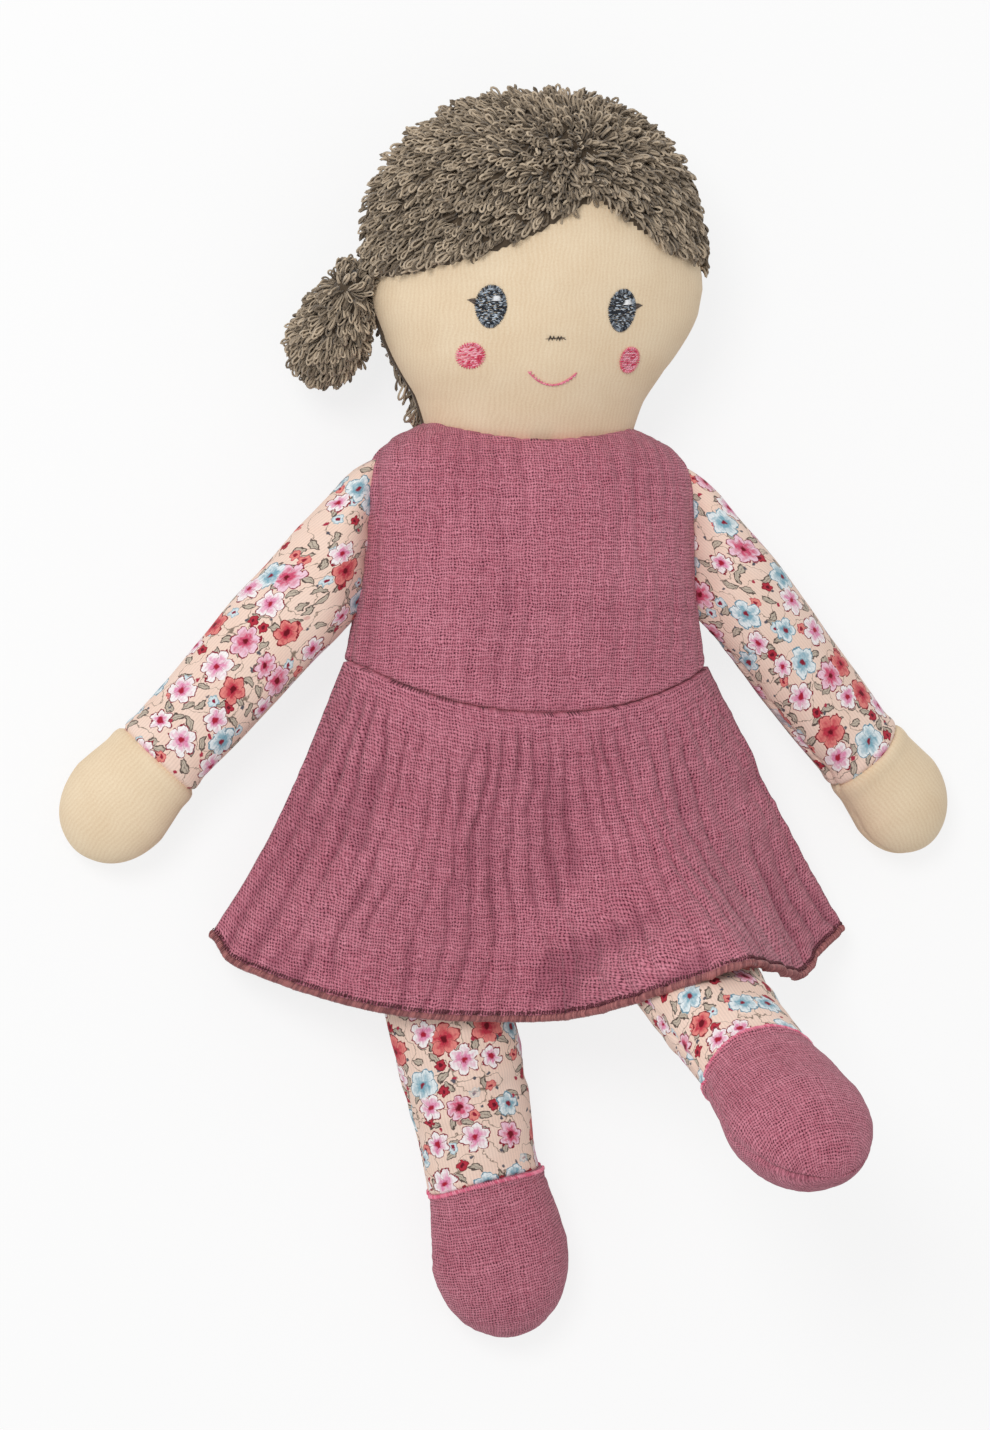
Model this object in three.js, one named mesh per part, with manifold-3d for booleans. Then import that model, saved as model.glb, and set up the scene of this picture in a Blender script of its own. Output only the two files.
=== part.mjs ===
// A sewn rag doll, 30 cm long, lying on its back with its arms apart, one leg straight and the other lifted.
// Every part is a front and a back fabric panel round a core of stuffing: +X is the doll's left, +Y its head,
// +Z its front, and the origin is where the back of the bodice rests. All lengths are in millimetres.
import * as THREE from "three";
import { mergeVertices } from "three/addons/utils/BufferGeometryUtils.js";
import Module from "manifold-3d";

const wasm = await Module();
wasm.setup();

// Cloth and clearances
const cloth = 1.2;
const gap = 0.3;
const press = 0.5; // how far a stuffed form is pressed flat where it lies
const pile = 2.8; // height of the terry loops over the head
const thread = 0.7; // thickness of a patch of embroidery

// Torso, with the bodice above the waist seam and the seat below it
const neckWidth = 50;
const neckThickness = 27;
const shoulderWidth = 79;
const shoulderThickness = 36;
const chestWidth = 82;
const chestThickness = 47;
const waistWidth = 89;
const waistThickness = 42;
const seatWidth = 82;
const seatThickness = 34;
const bodiceLength = 66;
const seatLength = 28;
const restToWaist = 27; // from the point where the back rests down to the waist seam
const bellyRise = 8; // above the waist seam, as are the next three
const chestRise = 30;
const upperChestRise = 53;
const shoulderRise = 61.5;
const seatDrop = 12.6; // below the waist seam, where the seat begins to narrow
const waistArc = 89; // radius of the waist seam in the cut cloth
const sideSlope = THREE.MathUtils.degToRad(8); // of the side seam, widening downwards

// Head and bunch of hair
const headLength = 80.5;
const headWidth = 78.5;
const headThickness = 50;
const neckKnuckle = 9; // radius of the round root on which the head nods
const bunchLength = 24;
const bunchSwell = 15; // from its root to its widest place
const bunchWidth = 20;
const bunchNeckShare = 0.85; // of its width, half way to its widest place
const bunchRootWidth = 7;
const bunchDrop = THREE.MathUtils.degToRad(62); // how far the bunch points down from straight out
const bunchSag = THREE.MathUtils.degToRad(55); // and how far it hangs back
const bunchRiseShare = 0.43; // of the head's length, from the neck seam
const bunchWall = 2.4; // the terry round the stuffing of the bunch

// Embroidered face
const eyeWidth = 7.2;
const eyeHeight = 10.2;
const eyeSpacingShare = 0.4; // of the head's width
const eyeRiseShare = 0.413; // of the head's length from the neck seam, as are the next rises
const glintWidth = 2;
const glintHeight = 1.4;
const lashLength = 2.6;
const lashWidth = 1.3;
const noseWidth = 4.6;
const noseHeight = 1.1;
const noseRiseShare = 0.329;
const mouthWidth = 11.4;
const mouthDip = 3;
const mouthRiseShare = 0.206;
const mouthLine = 1.1;
const cheekWidth = 6.8;
const cheekSpacingShare = 0.4875;
const cheekRiseShare = 0.264;

// Arms
const armWidth = 24.5;
const armThickness = 20;
const cuffWidth = 22.4;
const cuffThickness = 18;
const handWidth = 27;
const handThickness = 19;
const sleeveLength = 52; // from the hinge line to the cuff
const sleeveTaper = 31; // from the hinge line to where the sleeve is half way to the cuff's width
const handLength = 30;
const palmLength = 14; // from the cuff to the hand's widest place
const cuffArc = 110; // radius of the cuff seam
const armSeamRise = 42; // middle of the arm's seam above the waist seam
const armSeamLength = 44;
const armholeGap = 1.24; // between the side of the bodice, at the middle of the seam, and the arm's root
const rightArmSpread = THREE.MathUtils.degToRad(42);
const leftArmSpread = THREE.MathUtils.degToRad(44);

// Legs
const thighWidth = 32;
const thighThickness = 24;
const ankleWidth = 27.4;
const ankleThickness = 21;
const footWidth = 34;
const footThickness = 24;
const legLength = 74; // from the hinge line to the shoe seam
const thighLength = 22; // from the hinge line to where the leg begins to taper
const footLength = 42;
const instepLength = 20.5; // from the shoe seam to the foot's widest place
const shoeArc = 42; // radius of the shoe's upper seam
const legSpacing = 49;
const rightLegSpread = THREE.MathUtils.degToRad(-14);
const leftLegSpread = THREE.MathUtils.degToRad(13);
const leftLegLift = THREE.MathUtils.degToRad(58);

// Skirt, cut as part of a ring
const skirtLength = 71; // of the cloth, from the waist seam to the hem
const skirtFlare = THREE.MathUtils.degToRad(30); // half the angle of the cut
const hemCrown = 21; // height of the front hem at the middle
const hemSide = 7; // height of the side seams at the hem
const skirtSway = 5; // how far the hem is swept to the doll's left
const rightHemDrop = 8; // how much longer the cloth is at the doll's right than in the middle
const leftHemDrop = 3;
const sideDraw = THREE.MathUtils.degToRad(0.8); // how far the sides are drawn in half way down
const backGatherShare = 0.86; // of its length, how far the back panel reaches once it is rumpled
const foldDepth = 3;
const foldCount = 5;
const hemDepth = 2;
const hemThickness = 1.8;
const drapeClearance = 1.6;

// How finely the forms are faceted
const limbRings = 4;
const limbRingSteps = 7;
const torsoRings = 8;
const headRings = 6;
const headRingSteps = 8;
const bunchRings = 3;
const bunchRingSteps = 6;
const domeRings = 4;
const skirtRows = 8;
const skirtColumns = 24;
const patchSteps = 3;
const mouthSteps = 8;
const roundSteps = 48;
const halvings = 24; // steps of a search for a fold
const easings = 8; // passes of smoothing over the draped skirt
const drapings = 3; // rounds in which the skirt's reach is fitted to its length

const velourSkin = new THREE.MeshStandardMaterial({ color: 0xe3cba6, roughness: 0.95, metalness: 0 });
const terryHair = new THREE.MeshStandardMaterial({ color: 0x8a7b69, roughness: 1, metalness: 0 });
const muslin = new THREE.MeshStandardMaterial({ color: 0xb46c7c, roughness: 0.95, metalness: 0 });
const printedJersey = new THREE.MeshStandardMaterial({ color: 0xf0cdb6, roughness: 0.9, metalness: 0 });
const hemThread = new THREE.MeshStandardMaterial({ color: 0x9c5557, roughness: 0.8, metalness: 0 });
const fibreFill = new THREE.MeshStandardMaterial({ color: 0xf4f2ec, roughness: 1, metalness: 0 });
const eyeThread = new THREE.MeshStandardMaterial({ color: 0x4d5d70, roughness: 0.55, metalness: 0 });
const whiteThread = new THREE.MeshStandardMaterial({ color: 0xe9edf2, roughness: 0.5, metalness: 0 });
const brownThread = new THREE.MeshStandardMaterial({ color: 0x5a4335, roughness: 0.6, metalness: 0 });
const pinkThread = new THREE.MeshStandardMaterial({ color: 0xdf6b8b, roughness: 0.55, metalness: 0 });

// Lengths that follow from the driving ones
const floor = 0;
const midHeight = chestThickness / 2 - press;
const waistY = -restToWaist;
const neckY = waistY + bodiceLength;
const seatY = waistY - seatLength;
const wholeLength = headLength + bodiceLength + seatLength + legLength + footLength;
const lining = cloth + gap;

const panels = [
  [1, "front"],
  [-1, "back"],
];
const sides = [
  [-1, "right"],
  [1, "left"],
];

const doll = new THREE.Group();
const up = new THREE.Vector3(0, 0, 1);

// Closed solids from geometries, and meshes from solids

function solidOf(geometry) {
  const bare = geometry.index ? geometry.toNonIndexed() : geometry.clone();
  bare.deleteAttribute("normal");
  bare.deleteAttribute("uv");
  const merged = mergeVertices(bare);
  const vertProperties = merged.attributes.position.array;
  const triVerts = new Uint32Array(merged.index.array);
  return new wasm.Manifold(new wasm.Mesh({ numProp: 3, vertProperties, triVerts }));
}

function geometryOf(solid) {
  const { vertProperties, triVerts, numProp } = solid.getMesh();
  const geometry = new THREE.BufferGeometry();
  geometry.setAttribute("position", new THREE.BufferAttribute(vertProperties, numProp));
  geometry.setIndex(new THREE.BufferAttribute(triVerts, 1));
  return geometry;
}

function addPiece(parent, name, solid, material) {
  const mesh = new THREE.Mesh(geometryOf(solid), material);
  mesh.name = name;
  parent.add(mesh);
  mesh.updateWorldMatrix(true, false);
  return mesh;
}

// The solid between two grids of points that have the same rows and columns. Where they meet, it has no wall.
function slab(top, bottom) {
  const corners = [];
  const face = (a, b, c) => {
    if (!a.equals(b) && !b.equals(c) && !c.equals(a)) corners.push(a, b, c);
  };
  const quad = (a, b, c, d) => {
    face(a, b, c);
    face(a, c, d);
  };
  const rows = top.length - 1;
  const columns = top[0].length - 1;
  for (let i = 0; i < rows; i++) {
    for (let j = 0; j < columns; j++) {
      quad(top[i][j], top[i + 1][j], top[i + 1][j + 1], top[i][j + 1]);
      quad(bottom[i][j], bottom[i][j + 1], bottom[i + 1][j + 1], bottom[i + 1][j]);
    }
    quad(top[i][0], bottom[i][0], bottom[i + 1][0], top[i + 1][0]);
    quad(top[i][columns], top[i + 1][columns], bottom[i + 1][columns], bottom[i][columns]);
  }
  for (let j = 0; j < columns; j++) {
    quad(top[0][j], top[0][j + 1], bottom[0][j + 1], bottom[0][j]);
    quad(top[rows][j], bottom[rows][j], bottom[rows][j + 1], top[rows][j + 1]);
  }
  const made = solidOf(new THREE.BufferGeometry().setFromPoints(corners));
  return made.volume() > 0 ? made : solidOf(new THREE.BufferGeometry().setFromPoints(corners.reverse()));
}

// Sewn forms

// A form's stations run from its root to its widest place near the tip, each [distance along, half width,
// half thickness], and a dome closes the tip. A dome of no length leaves the tip flat.
function sewnForm(stations, dome, rings, steps) {
  const spots = stations.map((station) => new THREE.Vector3(...station));
  const curve = new THREE.CatmullRomCurve3(spots, false, "centripetal");
  const last = spots.at(-1);
  const domeSteps = dome ? domeRings : 0;
  const domeTurns = Array.from({ length: domeSteps + 1 }, (_, i) => (Math.PI / 2) * (i / domeRings));
  const sections = (inset) => [
    ...Array.from({ length: rings }, (_, i) => {
      const at = curve.getPointAt(i / rings);
      return [at.x, at.y - inset, at.z - inset];
    }),
    ...domeTurns.map((turn) => {
      const share = turn === Math.PI / 2 ? 0 : Math.cos(turn);
      return [last.x + (dome - inset) * Math.sin(turn), (last.y - inset) * share, (last.z - inset) * share];
    }),
  ];
  // The form's surface in front of its seam plane, or behind it, and the flat grid in that plane.
  const half = (side, inset, seam) =>
    sections(inset).map(([distance, wide, deep]) =>
      Array.from({ length: steps + 1 }, (_, j) => {
        const turn = (Math.PI * j) / steps;
        const edge = j === 0 || j === steps;
        const height = edge ? seam : seam + deep * Math.sin(turn);
        return new THREE.Vector3(wide * Math.cos(turn), distance, side * height);
      }),
    );
  const inPlane = (grid, z) => grid.map((row) => row.map((point) => point.clone().setZ(z)));
  return {
    half: (side, inset = 0) => {
      const face = half(side, inset, gap / 2);
      return slab(face, inPlane(face, (side * gap) / 2));
    },
    core: (inset) => slab(half(1, inset, 0), half(-1, inset, 0)),
    surface: (side) => half(side, 0, 0).flat(),
    // Half the form's width at a distance along it.
    halfWidthAt: (distance) => {
      const along = sections(0);
      const next = along.findIndex(([at]) => at >= distance);
      const [[from, before], [to, after]] = [along[next - 1], along[next]];
      return THREE.MathUtils.mapLinear(distance, from, to, before, after);
    },
  };
}

// A round tool whose axis runs along Z: the inside of a seam that is cut as an arc.
function arcTool(radius, x, y) {
  const round = new THREE.CylinderGeometry(radius, radius, wholeLength, roundSteps * 2);
  return solidOf(round.rotateX(Math.PI / 2).translate(x, y, 0));
}

// All that lies between two places along the doll.
function slice(from, to) {
  const block = new THREE.BoxGeometry(wholeLength, to - from, wholeLength);
  return solidOf(block.translate(0, (from + to) / 2, 0));
}

// What a limb keeps at its root: all that lies beyond its hinge line, and a round knuckle about that line.
function rootTool(turn, radius) {
  const beyond = new THREE.BoxGeometry(wholeLength, wholeLength, wholeLength).translate(0, wholeLength / 2, 0);
  const knuckle = new THREE.CylinderGeometry(radius, radius, wholeLength, roundSteps).rotateZ(Math.PI / 2);
  return solidOf(beyond.rotateZ(turn)).add(solidOf(knuckle.rotateZ(turn)));
}

// What rounds off a limb's root: a disc about a point on its axis, and all that lies beyond that.
function cropTool(radius, from) {
  const beyond = new THREE.BoxGeometry(wholeLength, wholeLength, wholeLength);
  return solidOf(beyond.translate(0, from + wholeLength / 2, 0)).add(arcTool(radius, 0, from));
}

// All that lies in front of a seam plane or behind it, clear of the seam.
function halfSpace(side) {
  const block = new THREE.BoxGeometry(wholeLength, wholeLength, wholeLength);
  return solidOf(block.translate(0, 0, (side * (gap + wholeLength)) / 2));
}

// What is left of a solid in a group once the floor has pressed it flat.
function aboveFloor(solid, group) {
  group.updateWorldMatrix(true, false);
  const below = new THREE.BoxGeometry(2 * wholeLength, 2 * wholeLength, wholeLength);
  below.translate(0, 0, floor - wholeLength / 2);
  return solid.subtract(solidOf(below.applyMatrix4(group.matrixWorld.clone().invert())));
}

// The turn between two limits at which a measure that grows with the turn comes to zero.
function turnAtZero(measure, low, high) {
  let [from, to] = [low, high];
  for (let k = 0; k < halvings; k++) {
    const middle = (from + to) / 2;
    if (measure(middle) > 0) to = middle;
    else from = middle;
  }
  return (from + to) / 2;
}

function lowestPoint(points, group) {
  group.updateWorldMatrix(true, true);
  return Math.min(...points.map((point) => point.clone().applyMatrix4(group.matrixWorld).z));
}

// A group that folds about a hinge line in the plane of the seams, turned from X. Folded by a positive angle,
// what lies to the left of the line's direction lifts to the front.
function hingeGroup(parent, pivot, turn) {
  const hinge = new THREE.Group();
  const axis = new THREE.Vector3(Math.cos(turn), Math.sin(turn), 0);
  hinge.position.copy(pivot);
  hinge.fold = (angle) => hinge.quaternion.setFromAxisAngle(axis, angle);
  parent.add(hinge);
  return hinge;
}

// Folds a hinge between two limits until the lowest of some points in a group on it comes to a height.
function foldToHeight(hinge, group, points, height, low, high) {
  const above = (angle) => {
    hinge.fold(angle);
    return lowestPoint(points, group) - height;
  };
  hinge.fold(turnAtZero(above, low, high));
}

// Torso: bodice panels above the waist seam, seat panels below it, and one core of stuffing

const torsoForm = sewnForm(
  [
    [seatY, seatWidth / 2, seatThickness / 2],
    [waistY - seatDrop, (seatWidth + waistWidth) / 4, (seatThickness + waistThickness) / 4],
    [waistY + bellyRise, waistWidth / 2, waistThickness / 2],
    [waistY + chestRise, chestWidth / 2, chestThickness / 2],
    [waistY + upperChestRise, (chestWidth + shoulderWidth) / 4, (chestThickness + shoulderThickness) / 4],
    [waistY + shoulderRise, shoulderWidth / 2, shoulderThickness / 2],
    [neckY, neckWidth / 2, neckThickness / 2],
  ],
  0,
  torsoRings,
  headRingSteps,
);
const torso = new THREE.Group();
torso.position.z = midHeight;
doll.add(torso);
const apexY = waistY + waistArc;
const aboveWaist = arcTool(waistArc, 0, apexY);
const belowWaist = arcTool(waistArc + gap, 0, apexY);
const seatInset = lining + gap;
const within = (inset) => torsoForm.core(inset).intersect(slice(seatY + inset, neckY - inset));
for (const [side, label] of panels) {
  const bodice = torsoForm.half(side).intersect(aboveWaist).subtract(within(cloth));
  addPiece(torso, `bodice_${label}`, aboveFloor(bodice, torso), muslin);
  const seat = torsoForm.half(side, seatInset).subtract(belowWaist).subtract(within(seatInset + cloth));
  addPiece(torso, `seat_${label}`, seat, muslin);
}
const upperCore = within(lining).intersect(arcTool(waistArc - gap, 0, apexY));
addPiece(torso, "torso_stuffing", upperCore.add(within(seatInset + lining)), fibreFill);

// Head: a velour face, terry hair in front above the hairline and all over the back, and stuffing

const headHalf = headWidth / 2;
const headDeep = headThickness / 2;
const seamToHinge = neckKnuckle + gap;
// Each row is [distance from the neck seam to the crown, half width, half thickness], as shares of the head.
const headShares = [
  [0.12, 0.72, 0.72],
  [0.235, 0.86, 0.88],
  [0.36, 0.955, 0.97],
  [0.5, 1, 1],
];
const headY = (riseShare) => riseShare * headLength - seamToHinge;
const headForm = sewnForm(
  [
    [-seamToHinge, neckWidth / 2, neckThickness / 2],
    ...headShares.map(([rise, wide, deep]) => [headY(rise), wide * headHalf, deep * headDeep]),
  ],
  (1 - headShares.at(-1)[0]) * headLength,
  headRings,
  headRingSteps,
);
const neckHinge = hingeGroup(doll, new THREE.Vector3(0, neckY + seamToHinge, midHeight), 0);
const head = new THREE.Group();
neckHinge.add(head);
foldToHeight(neckHinge, head, headForm.surface(-1), floor + pile - press, -Math.PI / 8, Math.PI / 4);
head.updateWorldMatrix(true, false);

// The hairline, from the doll's right temple over the parting to its left temple, as shares of the head's
// half width and length.
const hairlineShares = [
  [-1.3, 0.46],
  [-1, 0.47],
  [-0.5, 0.52],
  [-0.2, 0.575],
  [0.08, 0.645],
  [0.25, 0.68],
  [0.5, 0.61],
  [0.72, 0.55],
  [1, 0.5],
  [1.3, 0.47],
];
function hairlineTool(drop) {
  const point = ([across, rise]) => new THREE.Vector2(across * headHalf, headY(rise) - drop);
  const points = hairlineShares.map(point);
  const above = new THREE.Shape(points);
  above.lineTo(points.at(-1).x, headLength + pile);
  above.lineTo(points[0].x, headLength + pile);
  const deep = headThickness + pile;
  const hairy = new THREE.ExtrudeGeometry(above, { depth: deep, bevelEnabled: false });
  return solidOf(hairy.translate(0, 0, -deep / 2));
}
const neckRoot = rootTool(0, neckKnuckle);
const headHollow = headForm.core(cloth).intersect(rootTool(0, neckKnuckle - cloth));
const facePanel = headForm.half(1).intersect(neckRoot).subtract(hairlineTool(gap)).subtract(headHollow);
const hairFront = headForm.half(1, -pile).intersect(hairlineTool(0)).subtract(headHollow);
const hairBack = headForm.half(-1, -pile).intersect(neckRoot).subtract(headHollow);
const face = addPiece(head, "face_panel", facePanel, velourSkin);
addPiece(head, "hair_front", hairFront, terryHair);
addPiece(head, "hair_back", aboveFloor(hairBack, head), terryHair);
const headCore = headForm.core(lining).intersect(rootTool(0, neckKnuckle - lining));
addPiece(head, "head_stuffing", headCore, fibreFill);

// Embroidery: thin patches of thread that follow the face

const sight = new THREE.Raycaster();
// The height of the highest or lowest surface of some meshes over a point, in the meshes' common frame.
function heightOver(meshes, x, y, side) {
  sight.set(new THREE.Vector3(x, y, side * wholeLength), up.clone().multiplyScalar(-side));
  const [hit] = sight.intersectObjects(meshes, false);
  return hit ? hit.point.z : undefined;
}
const bareFace = new THREE.Mesh(face.geometry, new THREE.MeshStandardMaterial());
function onFace(x, rise, lift) {
  const y = rise - seamToHinge;
  return new THREE.Vector3(x, y, heightOver([bareFace], x, y, 1) + lift);
}
// A grid of points over an oval, square at its middle and round at its rim.
function ovalGrid(x, rise, width, height, lift) {
  const share = (k) => (2 * k) / patchSteps - 1;
  return Array.from({ length: patchSteps + 1 }, (_, i) =>
    Array.from({ length: patchSteps + 1 }, (_, j) => {
      const [a, b] = [share(i), share(j)];
      const across = (a * Math.sqrt(1 - (b * b) / 2) * width) / 2;
      const along = (b * Math.sqrt(1 - (a * a) / 2) * height) / 2;
      return onFace(x + across, rise + along, lift);
    }),
  );
}
function addOval(name, x, rise, width, height, lift, material) {
  const bottom = ovalGrid(x, rise, width, height, lift);
  const top = ovalGrid(x, rise, width, height, lift + thread);
  addPiece(head, name, slab(top, bottom), material);
}
const eyeRise = eyeRiseShare * headLength;
for (const [side, label] of sides) {
  const eyeX = side * eyeSpacingShare * headHalf;
  const lashX = eyeX + side * (eyeWidth / 2 + gap + lashLength / 2);
  addOval(`eye_${label}`, eyeX, eyeRise, eyeWidth, eyeHeight, gap, eyeThread);
  const glintX = eyeX + eyeWidth / 8;
  const glintRise = eyeRise + eyeHeight / 5;
  addOval(`eye_glint_${label}`, glintX, glintRise, glintWidth, glintHeight, 2 * gap + thread, whiteThread);
  addOval(`eyelash_${label}`, lashX, eyeRise, lashLength, lashWidth, gap, brownThread);
  const cheekX = side * cheekSpacingShare * headHalf;
  const cheekRise = cheekRiseShare * headLength;
  addOval(`cheek_${label}`, cheekX, cheekRise, cheekWidth, cheekWidth, gap, pinkThread);
}
addOval("nose", 0, noseRiseShare * headLength, noseWidth, noseHeight, gap, brownThread);
function mouthGrid(lift) {
  return Array.from({ length: mouthSteps + 1 }, (_, i) => {
    const across = (2 * i) / mouthSteps - 1;
    const x = (across * mouthWidth) / 2;
    const rise = mouthRiseShare * headLength - mouthDip * (1 - across * across);
    return [onFace(x, rise - mouthLine / 2, lift), onFace(x, rise + mouthLine / 2, lift)];
  });
}
addPiece(head, "mouth", slab(mouthGrid(gap + thread), mouthGrid(gap)), pinkThread);

// Bunch of hair: a stuffed terry ball, gathered where it is sewn to the side of the head

const bunchRoot = bunchRootWidth / 2;
const bunchHalf = bunchWidth / 2;
const bunchNeck = bunchHalf * bunchNeckShare;
const bunchForm = sewnForm(
  [
    [0, bunchRoot, bunchRoot],
    [bunchSwell / 2, bunchNeck, bunchNeck],
    [bunchSwell, bunchHalf, bunchHalf],
  ],
  bunchLength - bunchSwell,
  bunchRings,
  bunchRingSteps,
);
const bunchPivot = new THREE.Vector3(-(headHalf + pile + gap + bunchRoot), headY(bunchRiseShare), 0);
const bunchHinge = hingeGroup(head, bunchPivot, Math.PI / 2);
const bunchReach = new THREE.Group();
bunchReach.rotation.z = Math.PI / 2 + bunchDrop;
bunchHinge.add(bunchReach);
bunchHinge.fold(-bunchSag);
const bunchKnot = new THREE.SphereGeometry(bunchRoot, 2 * bunchRingSteps, bunchRingSteps);
const bunchHollow = bunchForm.core(bunchWall);
for (const [side, label] of panels) {
  const knot = solidOf(bunchKnot).intersect(halfSpace(side)).subtract(bunchForm.core(gap));
  addPiece(bunchReach, `hair_bunch_${label}`, bunchForm.half(side).subtract(bunchHollow).add(knot), terryHair);
}
addPiece(bunchReach, "hair_bunch_stuffing", bunchForm.core(bunchWall + gap), fibreFill);

// Arms and legs: an upper part and an end part, each a front and a back panel, round one core of stuffing

// The hinge line turns by hingeTurn from X, and the limb reaches from its pivot at reachTurn from +Y. Its
// shape has stations, a dome, the radius of its knuckle and a crop round its root. With no lift, it lies down.
function addLimb(names, label, lie, shape, seam) {
  const { pivot, hingeTurn, reachTurn, lift } = lie;
  const { stations, dome, radius, crop } = shape;
  const hinge = hingeGroup(doll, pivot, hingeTurn);
  const reach = new THREE.Group();
  reach.rotation.z = reachTurn;
  hinge.add(reach);
  const form = sewnForm(stations, dome, limbRings, limbRingSteps);
  const tip = form.surface(-1).filter((point) => point.y > seam.at);
  if (lift === undefined) foldToHeight(hinge, reach, tip, floor - press, -Math.PI / 3, 0);
  else hinge.fold(lift);
  const knuckle = (inset) => rootTool(hingeTurn - reachTurn, radius - inset);
  const rooted = (solid, inset) => solid.intersect(knuckle(inset)).intersect(crop(inset));
  const beyondSeam = arcTool(seam.arc, 0, seam.at + seam.arc);
  const beforeSeam = arcTool(seam.arc + gap, 0, seam.at + seam.arc);
  const hollow = rooted(form.core(cloth), cloth);
  const placed = (solid) => (lift === undefined ? aboveFloor(solid, reach) : solid);
  const [upper, end, whole] = names;
  for (const [side, face] of panels) {
    const skin = rooted(form.half(side), 0).subtract(hollow);
    addPiece(reach, `${upper}_${face}_${label}`, placed(skin.subtract(beforeSeam)), printedJersey);
    addPiece(reach, `${end}_${face}_${label}`, placed(skin.intersect(beyondSeam)), seam.fabric);
  }
  addPiece(reach, `${whole}_stuffing_${label}`, rooted(form.core(lining), lining), fibreFill);
}

const armRadius = armThickness / 2;
const handWidest = sleeveLength + palmLength;
for (const [side, label] of sides) {
  const spread = side < 0 ? rightArmSpread : leftArmSpread;
  // The arm is cut off along the side seam, so its tube starts as far back as that slanting cut reaches.
  const slant = spread - sideSlope;
  const back = (armRadius + gap) / Math.sin(slant) + armWidth / 2 / Math.tan(slant);
  const outwards = new THREE.Vector3(side * Math.cos(sideSlope), Math.sin(sideSlope), 0);
  const seamY = waistY + armSeamRise;
  const seamMiddle = new THREE.Vector3(side * torsoForm.halfWidthAt(seamY), seamY, midHeight);
  const downwards = new THREE.Vector3(side * Math.sin(sideSlope), -Math.cos(sideSlope), 0);
  const fromSeam = armRadius + armholeGap;
  const pivot = seamMiddle.addScaledVector(outwards, fromSeam);
  pivot.addScaledVector(downwards, fromSeam / Math.tan(slant));
  const lie = { pivot, hingeTurn: side * (sideSlope - Math.PI / 2), reachTurn: Math.PI + side * spread };
  const shape = {
    stations: [
      [-back, armWidth / 2, armRadius],
      [0, armWidth / 2, armRadius],
      [sleeveTaper, (armWidth + cuffWidth) / 4, (armThickness + cuffThickness) / 4],
      [sleeveLength, cuffWidth / 2, cuffThickness / 2],
      [handWidest, handWidth / 2, handThickness / 2],
    ],
    dome: handLength - palmLength,
    radius: armRadius,
    crop: (inset) => cropTool(armSeamLength / 2 - inset, -fromSeam / Math.sin(slant)),
  };
  const cuff = { at: sleeveLength, arc: cuffArc, fabric: velourSkin };
  addLimb(["sleeve", "hand", "arm"], label, lie, shape, cuff);
}

const legRadius = thighThickness / 2;
const hipY = seatY - gap - legRadius;
const footWidest = legLength + instepLength;
for (const [side, label] of sides) {
  const spread = side < 0 ? rightLegSpread : leftLegSpread;
  const lift = side < 0 ? undefined : leftLegLift;
  const back = legRadius / Math.cos(spread) + (thighWidth / 2) * Math.tan(Math.abs(spread));
  const pivot = new THREE.Vector3((side * legSpacing) / 2, hipY, midHeight);
  const lie = { pivot, hingeTurn: Math.PI, reachTurn: Math.PI + side * spread, lift };
  const shape = {
    stations: [
      [-back, thighWidth / 2, legRadius],
      [thighLength, thighWidth / 2, legRadius],
      [legLength, ankleWidth / 2, ankleThickness / 2],
      [footWidest, footWidth / 2, footThickness / 2],
    ],
    dome: footLength - instepLength,
    radius: legRadius,
    crop: () => slice(-wholeLength, wholeLength),
  };
  addLimb(["leg", "shoe", "leg"], label, lie, shape, { at: legLength, arc: shoeArc, fabric: muslin });
}

// Skirt: a front and a back panel, each cut as part of a ring, draped over the seat and the legs

doll.updateMatrixWorld(true);
const beneath = doll
  .getObjectsByProperty("isMesh", true)
  .filter((mesh) => /^(seat|leg|shoe)_(front|back)/.test(mesh.name));

const skirtTop = waistArc + gap;
const panelLength = (side) => (side > 0 ? skirtLength : skirtLength * backGatherShare);
function skirtPoint(u, distance) {
  const down = Math.min((distance - skirtTop) / skirtLength, 1);
  const turn = u * (skirtFlare - sideDraw * Math.sin(Math.PI * down));
  const sway = skirtSway * Math.sin((Math.PI / 2) * down);
  const drop = (u < 0 ? rightHemDrop : leftHemDrop) * down * Math.sin((Math.PI / 2) * u) ** 2;
  return new THREE.Vector2(sway + distance * Math.sin(turn), apexY - drop - distance * Math.cos(turn));
}
// Shares of the way across, from -1 to 1, and of the way down, from 0 to 1.
const acrossShare = (j) => (2 * j) / skirtColumns - 1;
const downShare = (i) => i / skirtRows;
const sideHeight = (v) => THREE.MathUtils.lerp(midHeight, hemSide, v);

// The height of a panel's inner face before it is draped: side is 1 for the front and -1 for the back.
function hangingHeight(side, u, v) {
  const round = Math.sqrt(1 - u * u);
  const edge = sideHeight(v) + (side * gap) / 2;
  const bulge = round * (waistThickness / 2 - lining);
  if (side > 0) {
    const folds = foldDepth * v * round * Math.sin(foldCount * Math.PI * u) ** 2;
    return edge + THREE.MathUtils.lerp(bulge, (hemCrown - hemSide) * round, v) + folds;
  }
  const laid = floor + cloth + (edge - floor - cloth) * u ** 6;
  return THREE.MathUtils.lerp(edge - bulge, laid, THREE.MathUtils.smoothstep(v, 0, 0.5));
}
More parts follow.
